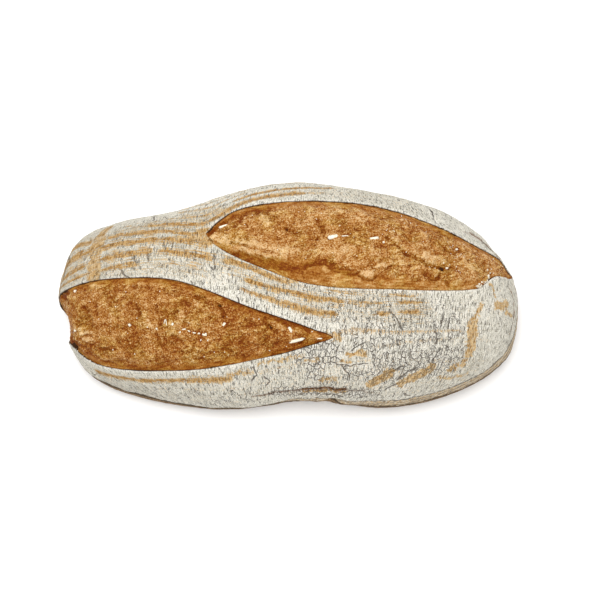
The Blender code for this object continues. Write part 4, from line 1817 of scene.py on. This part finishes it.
FRONT_SCORE = Score(
    name="front",
    back_edge=(
        (-252, -17), (-228, -1), (-210, 4), (-184, 6), (-154, 9), (-122, 9), (-103, 8), (-85, 5),
        (-68, -0.8), (-52, -7.5), (-35, -14.8), (-15, -22), (2, -28), (12, -31.8), (18, -33.6), (23, -36),
    ),
    front_edge=(
        (-252, -19), (-228, -35), (-210, -39), (-190, -43), (-182, -47.2), (-169, -53.6), (-155, -56.4),
        (-131, -58.4), (-100, -58.5), (-72, -57.4), (-45, -54), (-28, -50.6), (-11, -47), (2, -43.5),
        (12, -40.6), (19, -38.6), (23, -36.5),
    ),
    front_shelf=(
        (-252, -16), (-210, -36), (-184, -41), (-154, -50), (-122, -54), (-80, -53), (-9, -43), (12, -38),
        (23, -35),
    ),
    back_shelf=2.5,
    back_lip=0.9,
    front_lip=1.0,
    toast=0.18,
    sunk=(
        *strokes(13.0, 0.3, ((-50, -30), (-25, -34), (10, -37))),
        *strokes(
            2.2, 0.9, ((-204, 2), (-187, -1), (-179, -6.7)), ((-194, -39), (-177, -36.7), (-166, -38.2)),
        ),
        *strokes(
            1.3, 0.5, ((-21, -41.2), (-16, -39.2), (-10, -38.7)),
            ((-45, -38.7), (-34, -40.2), (-22, -39.1)),
        ),
        *strokes(1.6, 0.7, ((-196, 6.8), (-182, 2))),
        *strokes(1.8, 1.2, ((-196, -42), (-186, -41), (-177, -42))),
        *strokes(2.6, 1.6, ((-208, -35), (-198, -38), (-189, -43))),
        *strokes(
            1.4, 1.0, ((-114, -11.9), (-112, -17.6), (-111, -20.4)), ((-99, -13.2), (-99, -17.4)),
            ((-71, -7.4), (-65, -9)), ((-55, -13.4), (-52, -18.3), (-51, -21.7)),
            ((-24, -24.4), (-20, -27.2), (-19, -29.9)),
        ),
        *strokes(
            1.3, 0.65, ((-97, -22.3), (-97, -25)), ((-122, -5.1), (-117, -6.8)),
            ((-134, -4.5), (-131, -8.2)), ((-148, -8), (-148, -16.9)), ((-160, -11), (-157, -14.2)),
            ((-85, -17.2), (-84, -18.4)), ((-90, -31.5), (-86, -35), (-82, -36.5)),
            ((-115, -31.5), (-115, -37.2)), ((-100, -31.9), (-98, -38.2)), ((-150, -41.3), (-140, -42)),
            ((-153, -51.6), (-144, -52.2)), ((-84, -44.1), (-79, -44.9)), ((-75, -47.7), (-68, -49.3)),
            ((-64, -45.8), (-61, -44.5)), ((-53, -43.3), (-49, -45.4)), ((-65, -11), (-60, -14.6)),
            ((-39, -22.1), (-34, -24.9), (-31, -27.6)), ((-20, -23.2), (-11, -24.7), (-8, -28.7)),
            ((-36, -39.5), (-34, -44.3)), ((-7, -42.7), (-3, -41.4)), ((0, -40.1), (7, -38.2), (12, -39)),
            ((4, -35.5), (5, -36.9)), ((-43, -46.9), (-39, -48.3)), ((-79, -9.1), (-75, -13.4)),
            ((-51, -10.1), (-30, -16.9), (-7, -24.8), (12, -31.7)),
            ((-172, -33.5), (-156, -39), (-168, -44.7)),
        ),
    ),
    raised=(
        *strokes(
            2.0, 1.0, ((-81, -18), (-80, -21.5), (-83, -24.8)), ((-163, -6.3), (-160, -8.1)),
            ((-19, -26.5), (-12, -29.3)),
        ),
        *strokes(
            1.8, 0.8, ((-109, -9.3), (-105, -12.9)), ((-172, -25.7), (-162, -27.5), (-152, -30)),
            ((-154, -46.8), (-147, -49.1)), ((-131, -44.3), (-129, -47.3)), ((-71, -11.5), (-67, -14.4)),
            ((-2, -30.8), (3, -33.5)), ((9, -33.6), (12, -36.3)), ((-154, 5.9), (-146, 3)),
        ),
        *strokes(1.3, 1.6, ((-166, -29.3), (-154, -28.7)), ((-165, -34.6), (-154, -33.6))),
        *strokes(
            1.8, 0.55, ((-76, -23), (-69, -26.6)), ((-79, -4.3), (-77, -4.3)),
            ((-137, -15.2), (-133, -19.6)), ((-113, 3), (-111, 3)), ((-104, 2.5), (-102, 2.5)),
            ((-91, -1.7), (-89, -1.7)), ((-126, -3.5), (-124, -3.5)), ((-145, -31.6), (-143, -31.6)),
            ((-105, -25.5), (-101, -27.7)),
        ),
    ),
)

# Lines of the basket's rings from the back to the front, and the stretches of them that show
RINGS = BasketRings(
    guides=(
        (3.0, (
            (-262, 60), (-150, 62), (-91, 57), (-66, 58), (-49, 70), (-20, 81), (20, 85), (80, 80),
            (140, 62), (236, 24),
        )),
        (1.0, (
            (-262, 24), (-195, 44), (-145, 46), (-100, 44.5), (-64, 41), (-46, 54), (-14, 65), (20, 65.5),
            (67, 59), (103, 49), (152, 34), (182, 24), (236, 14),
        )),
        (0.0, (
            (-262, 12), (-198, 30), (-162, 36), (-100, 37), (-70, 33.5), (-55, 31), (-40, 22), (-14, 9.5),
            (19, 0), (62, -1.5), (103, -1), (134, 5), (160, 14), (182, 16), (236, 2),
        )),
        (-1.0, (
            (-262, 6), (-185, 19), (-150, 25), (-99, 27.5), (-65, 21), (-41, 15), (-10, 1), (20, -5),
            (68, -8.5), (110, -8), (140, -3), (170, 4), (236, -6),
        )),
        (-2.0, (
            (-262, 2), (-182, 12), (-145, 16.5), (-94, 18), (-51, 7), (-14, -4), (24, -12), (89, -12),
            (140, -9), (236, -16),
        )),
        (-3.0, (
            (-262, -2), (-180, 8), (-120, 12), (-76, 10), (-53, 2), (-24, -9), (7, -19), (30, -22),
            (79, -19), (140, -17), (236, -26),
        )),
        (-4.5, (
            (-252, -17), (-228, -1), (-210, 4), (-184, 6), (-154, 9), (-103, 8), (-56, -6.5), (-29, -18),
            (17, -35), (24, -31), (69, -30.5), (114, -28), (236, -36),
        )),
        (-5.0, (
            (-252, -19), (-228, -35), (-184, -44), (-154, -56), (-122, -59.5), (-80, -58), (-9, -47),
            (17, -36), (24, -33.5), (69, -33), (114, -31), (236, -40),
        )),
        (-6.0, (
            (-262, -44), (-187, -62), (-173, -65), (-154, -66), (-129, -67.6), (-94, -66.4), (-57, -66),
            (-14, -57.5), (52, -43), (119, -36), (236, -48),
        )),
    ),
    runs=tuple(
        RingRun(*values)
        for values in (
            (4, -95, -40, 0.5), (3, -90, -60, 0.45), (3, -50, 25, 1.1), (2, -131, -113, 0.3),
            (2, -114, -60, 0.95), (2, -62, 2, 3.2), (2, 2, 22, 0.4), (1, -205, -168, 0.9),
            (1, -148, -62, 1.1), (0, -215, -160, 1.3), (0, -152, -60, 1.3), (-1, -205, -165, 0.85),
            (-1, -148, -106, 1.1), (-1, -101, -60, 0.9), (-1, -53, -8, 1.0), (-1, 18, 40, 0.4),
            (-1, 60, 80, 0.5), (-2, -205, -158, 0.9), (-2, -148, -116, 0.9), (-2, -96, -62, 0.3),
            (-2, -37, 30, 1.0), (-2, 30, 56, 0.5), (-2, 67, 84, 0.9), (-3, -80, -60, 0.3),
            (-3, -40, 24, 1.0), (-3, 51, 60, 0.8), (-3, 68, 84, 0.8), (-5, 24, 118, 0.45),
            (-6, -176, -50, 1.2), (-6, -30, 5, 0.3), (-6, 50, 145, 0.25),
        )
    ),
)

# Streaks where the flour was rubbed off
BARE = (
    *strokes(5.0, 2.4, ((-76, 35), (-68, 38), (-63, 39))),
    *strokes(1.6, 1.2, ((-31, 11.5), (-22, 6.3), (-12, 3), (-3, 0.4))),
    *strokes(6.0, 1.0, ((-162, 60), (-162.5, 53), (-162, 46), (-159, 38))),
    *strokes(1.3, 1.8, ((3, -78), (15, -76.6), (26, -76.6), (35, -77.4))),
    *strokes(7.0, 1.2, ((-157, 42), (-157, 33), (-156, 26), (-154.5, 18), (-152, 10))),
    *strokes(2.4, 1.1, ((132, -11), (129, -17), (125.5, -23))),
    *strokes(1.7, 1.6, ((138.6, 5), (141.6, 3.9), (144.6, 1.1), (147, -4))),
    *strokes(4.9, 1.1, ((124.5, -25), (125.5, -32), (125.7, -41), (125.3, -46))),
    *strokes(3.0, 0.9, ((125, -52), (124.8, -55)), ((113, -59), (119, -56))),
    *strokes(4.2, 1.1, ((149, -10.4), (161, -8.6))),
    *strokes(2.2, 1.2, ((160, -14.5), (165, -15.5), (171, -16.4))),
    *strokes(3.2, 1.0, ((-90, 36), (-72, 34), (-62, 30)), ((17, -35), (26, -36))),
    *strokes(4.0, 1.8, ((52, -70), (57, -66.5), (66, -61.5)), ((76, -70), (86, -64.5), (97, -58))),
    *strokes(2.0, 2.4, ((32.5, -47.8), (45, -47.2))),
    *strokes(1.4, 1.6, ((4, -53), (12, -51)), ((29.5, -53.2), (36, -52.6))),
    *strokes(
        2.2, 0.9, ((16, -65.5), (25, -65.5)), ((-81, -65), (-57, -65.6)), ((-52, -62.5), (-36, -60.4)),
    ),
    *strokes(1.6, 0.9, ((-29, -54), (-15, -51.4), (1, -49)), ((106, -66), (122, -65.8), (134, -63.7))),
)

# Long cracks and furrows in the skin; the last is painted shade in the notch at the rim
CRACKS = (
    *strokes(1.6, 1.0, ((-129, 15), (-122, 8)), ((-108.4, 25), (-107.8, 20.5)), ((84, -81), (92, -84))),
    *strokes(0.8, 1.0, ((-119, 25), (-118, 21)), ((-96.8, 33.5), (-96.4, 30)), ((-90.5, 33), (-90, 29))),
    *strokes(
        0.9, 1.0, ((61, -20.3), (65.3, -23.6), (68.3, -27.6), (70.7, -32)),
        ((94.8, -33), (96.8, -35), (96.3, -39.8)),
    ),
    *strokes(0.8, 1.0, ((101, -21.4), (99, -25.3), (98.9, -29.8)), ((105.5, -22.7), (104, -29.7))),
    *strokes(
        0.8, 1.0, ((99.9, -44), (98.7, -49), (96.6, -53.3)), ((35.8, -45), (39.8, -43), (43.8, -40.4)),
    ),
    *strokes(
        1.3, 1.0, ((62.4, -62.8), (67, -60.6), (73.3, -57.7)), ((73, -66), (79, -61.4), (84.6, -59.2)),
    ),
    *strokes(1.2, 1.0, ((66.8, -75.3), (70.7, -72.7), (74.6, -70.2)), ((-58.8, 22), (-58.8, 12.6))),
    *strokes(
        0.8, 1.0, ((-33.2, -56.8), (-32.3, -62), (-35, -67.4)),
        ((-25.3, -64.3), (-22.7, -68.3), (-25.4, -72.5)),
    ),
    *strokes(
        0.8, 1.0, ((-116, 64), (-113, 59)), ((104, 69), (102, 52)), ((-42, -9), (-41, -13)),
        ((-22, -17), (-22, -21)),
    ),
    *strokes(
        0.8, 1.0, ((-190, -67), (-176.5, -68.5)), ((23, -54), (34, -60), (36, -66)), ((28, -56), (47, -55)),
    ),
    *strokes(0.8, 1.0, ((0, -81), (14, -80), (27, -80.5), (34, -82.5))),
    # Painted shade in the notch at the rim, drawn as a crack
    *strokes(2.6, 1.0, ((14, -88), (21, -89), (29, -90), (36, -91), (42, -93))),
)

# Brown folds of the skin at its edges
FOLDS = (
    *strokes(0.9, 1.0, ((138, 51.5), (146, 47), (154, 39), (159, 29), (163, 19))),
    *strokes(0.8, 0.4, ((-159.5, 62), (-162.8, 52), (-163.6, 44)), ((126, 54), (135, 49), (145, 45.5))),
    *strokes(0.9, 0.9, (
        (164, 20), (169.5, 12), (174, 2.3), (176.5, -8), (177, -15), (176, -22), (173, -30.8),
    )),
    *strokes(1.3, 1.1, ((2, -76), (9, -75), (15, -74.6), (24.6, -74.6), (34.6, -75.4))),
    *strokes(1.0, 0.9, ((-38, -83.6), (-29, -82), (-19, -79), (-8, -77.2), (2, -76))),
    *strokes(0.7, 0.6, ((34.6, -75.4), (45.5, -76.4), (57, -78))),
)

# Where the crust stretched along the loaf and split across it
STRETCHED = (
    *strokes(20.0, 0.25, ((35, -22), (60, -28), (95, -28))),
    *strokes(12.0, 0.25, ((55, -52), (110, -50))),
)

# Where it stretched both ways and the flour broke into chips
CRACKLED = (
    *strokes(12.0, 0.85, ((8, -46), (18, -50), (14, -58))),
    *strokes(13.0, 0.6, ((40, -57), (80, -56), (110, -52))),
    *strokes(6.0, 0.9, ((-20, -79), (10, -77), (60, -80))),
    *strokes(16.0, 0.4, ((50, -38), (100, -38))),
    *strokes(12.0, 0.35, ((-175, -76), (-110, -82), (-45, -84))),
)

# Where it hardly broke
SMOOTH = (
    *strokes(14.0, 0.15, ((150, -14), (150, -45))),
    *strokes(10.0, 0.2, ((120, -8), (130, -10))),
    *strokes(4.0, 0.8, ((22, -59.5), (29, -58.5)), ((36, -52.8), (46, -52))),
)

# Where the flour lies thin all over
THIN = (
    *strokes(26.0, 1.0, ((-195, 28), (-80, 34))),
    *strokes(9.0, 1.3, ((-143, 47), (-80, 51), (-60, 57))),
    *strokes(12.0, 0.9, ((-60, 25), (-20, 3), (20, -12), (80, -18))),
    *strokes(20.0, 0.15, ((40, -28), (120, -28))),
    *strokes(16.0, 0.35, ((-180, -74), (-60, -76), (20, -66), (130, -60))),
    *strokes(14.0, 0.5, ((20, 76), (80, 70))),
)

# Where flour covers the foot
CLEAN = (
    *strokes(26.0, 1.0, ((-262, 30), (-262, -25), (-215, -62), (-160, -84), (-90, -92), (-40, -94))),
    *strokes(26.0, 1.0, ((-262, 30), (-215, 66), (-150, 78), (-60, 84), (20, 94), (100, 88), (170, 50))),
)

# Flakes on the opened bread: place, length, width and turn
CHIPS = tuple(
    Chip(*values)
    for values in (
        ((22.5, 31.4), 7.6, 2.6, 14), ((31, 32.4), 7.0, 0.7, 4), ((50.5, 30.4), 7.0, 2.0, 15),
        ((57, 27.8), 1.8, 1.4, 0), ((-53.5, 43.5), 7.0, 1.6, 18), ((112, 27.6), 2.2, 1.2, 10),
        ((102, 12.2), 2.0, 1.4, 30), ((-172, 2.4), 2.2, 2.0, 0), ((-120, -24.9), 2.0, 1.8, 40),
        ((-172, -27), 1.6, 1.4, 0), ((-93.6, -24.5), 5.6, 0.6, 74), ((-91.6, -24.5), 5.6, 0.6, 100),
        ((-87, -25.4), 2.2, 1.4, 80), ((-99, -28), 1.5, 1.2, 0), ((-82, -30.8), 2.2, 0.8, 70),
        ((-79.4, -29), 3.4, 0.9, 8), ((-76, -30.2), 2.6, 0.8, -30), ((-72.6, -31.6), 3.0, 0.9, -10),
        ((-69, -32.1), 2.0, 1.0, 0), ((-65, -33), 4.2, 1.3, -12), ((-68, -36.5), 1.6, 0.7, 70),
        ((-63, -36.6), 1.6, 0.7, 60), ((-51.5, -26.6), 3.4, 1.6, 50), ((-64, -32.4), 1.6, 1.2, 0),
        ((-6.2, -31.2), 4.8, 1.7, -58), ((-2.5, -38.2), 11.4, 2.0, 13), ((13, -37.1), 4.6, 0.9, -4),
    )
)


def main() -> None:
    """Builds the loaf's pieces in order, then the studio."""
    logging.basicConfig(level=logging.INFO, format="%(name)s: %(message)s")
    loaf = Loaf(CrustShape(), Relief(), (BACK_SCORE, FRONT_SCORE))
    skin = FlouredSkin(loaf, RINGS, BARE, CRACKS, FOLDS, STRETCHED, CRACKLED, SMOOTH, THIN, CLEAN)
    skin.build((FlouredCrust().material(), HearthBase().material()))
    bread_material = TornBread().material()
    breads = tuple(OpenedBread(loaf, score) for score in loaf.scores)
    for bread in breads:
        bread.build((bread_material,))
    FlourFlakes(breads, CHIPS).build((FlourChip().material(),))
    Studio().build(loaf.middle)


if __name__ == "__main__":
    main()
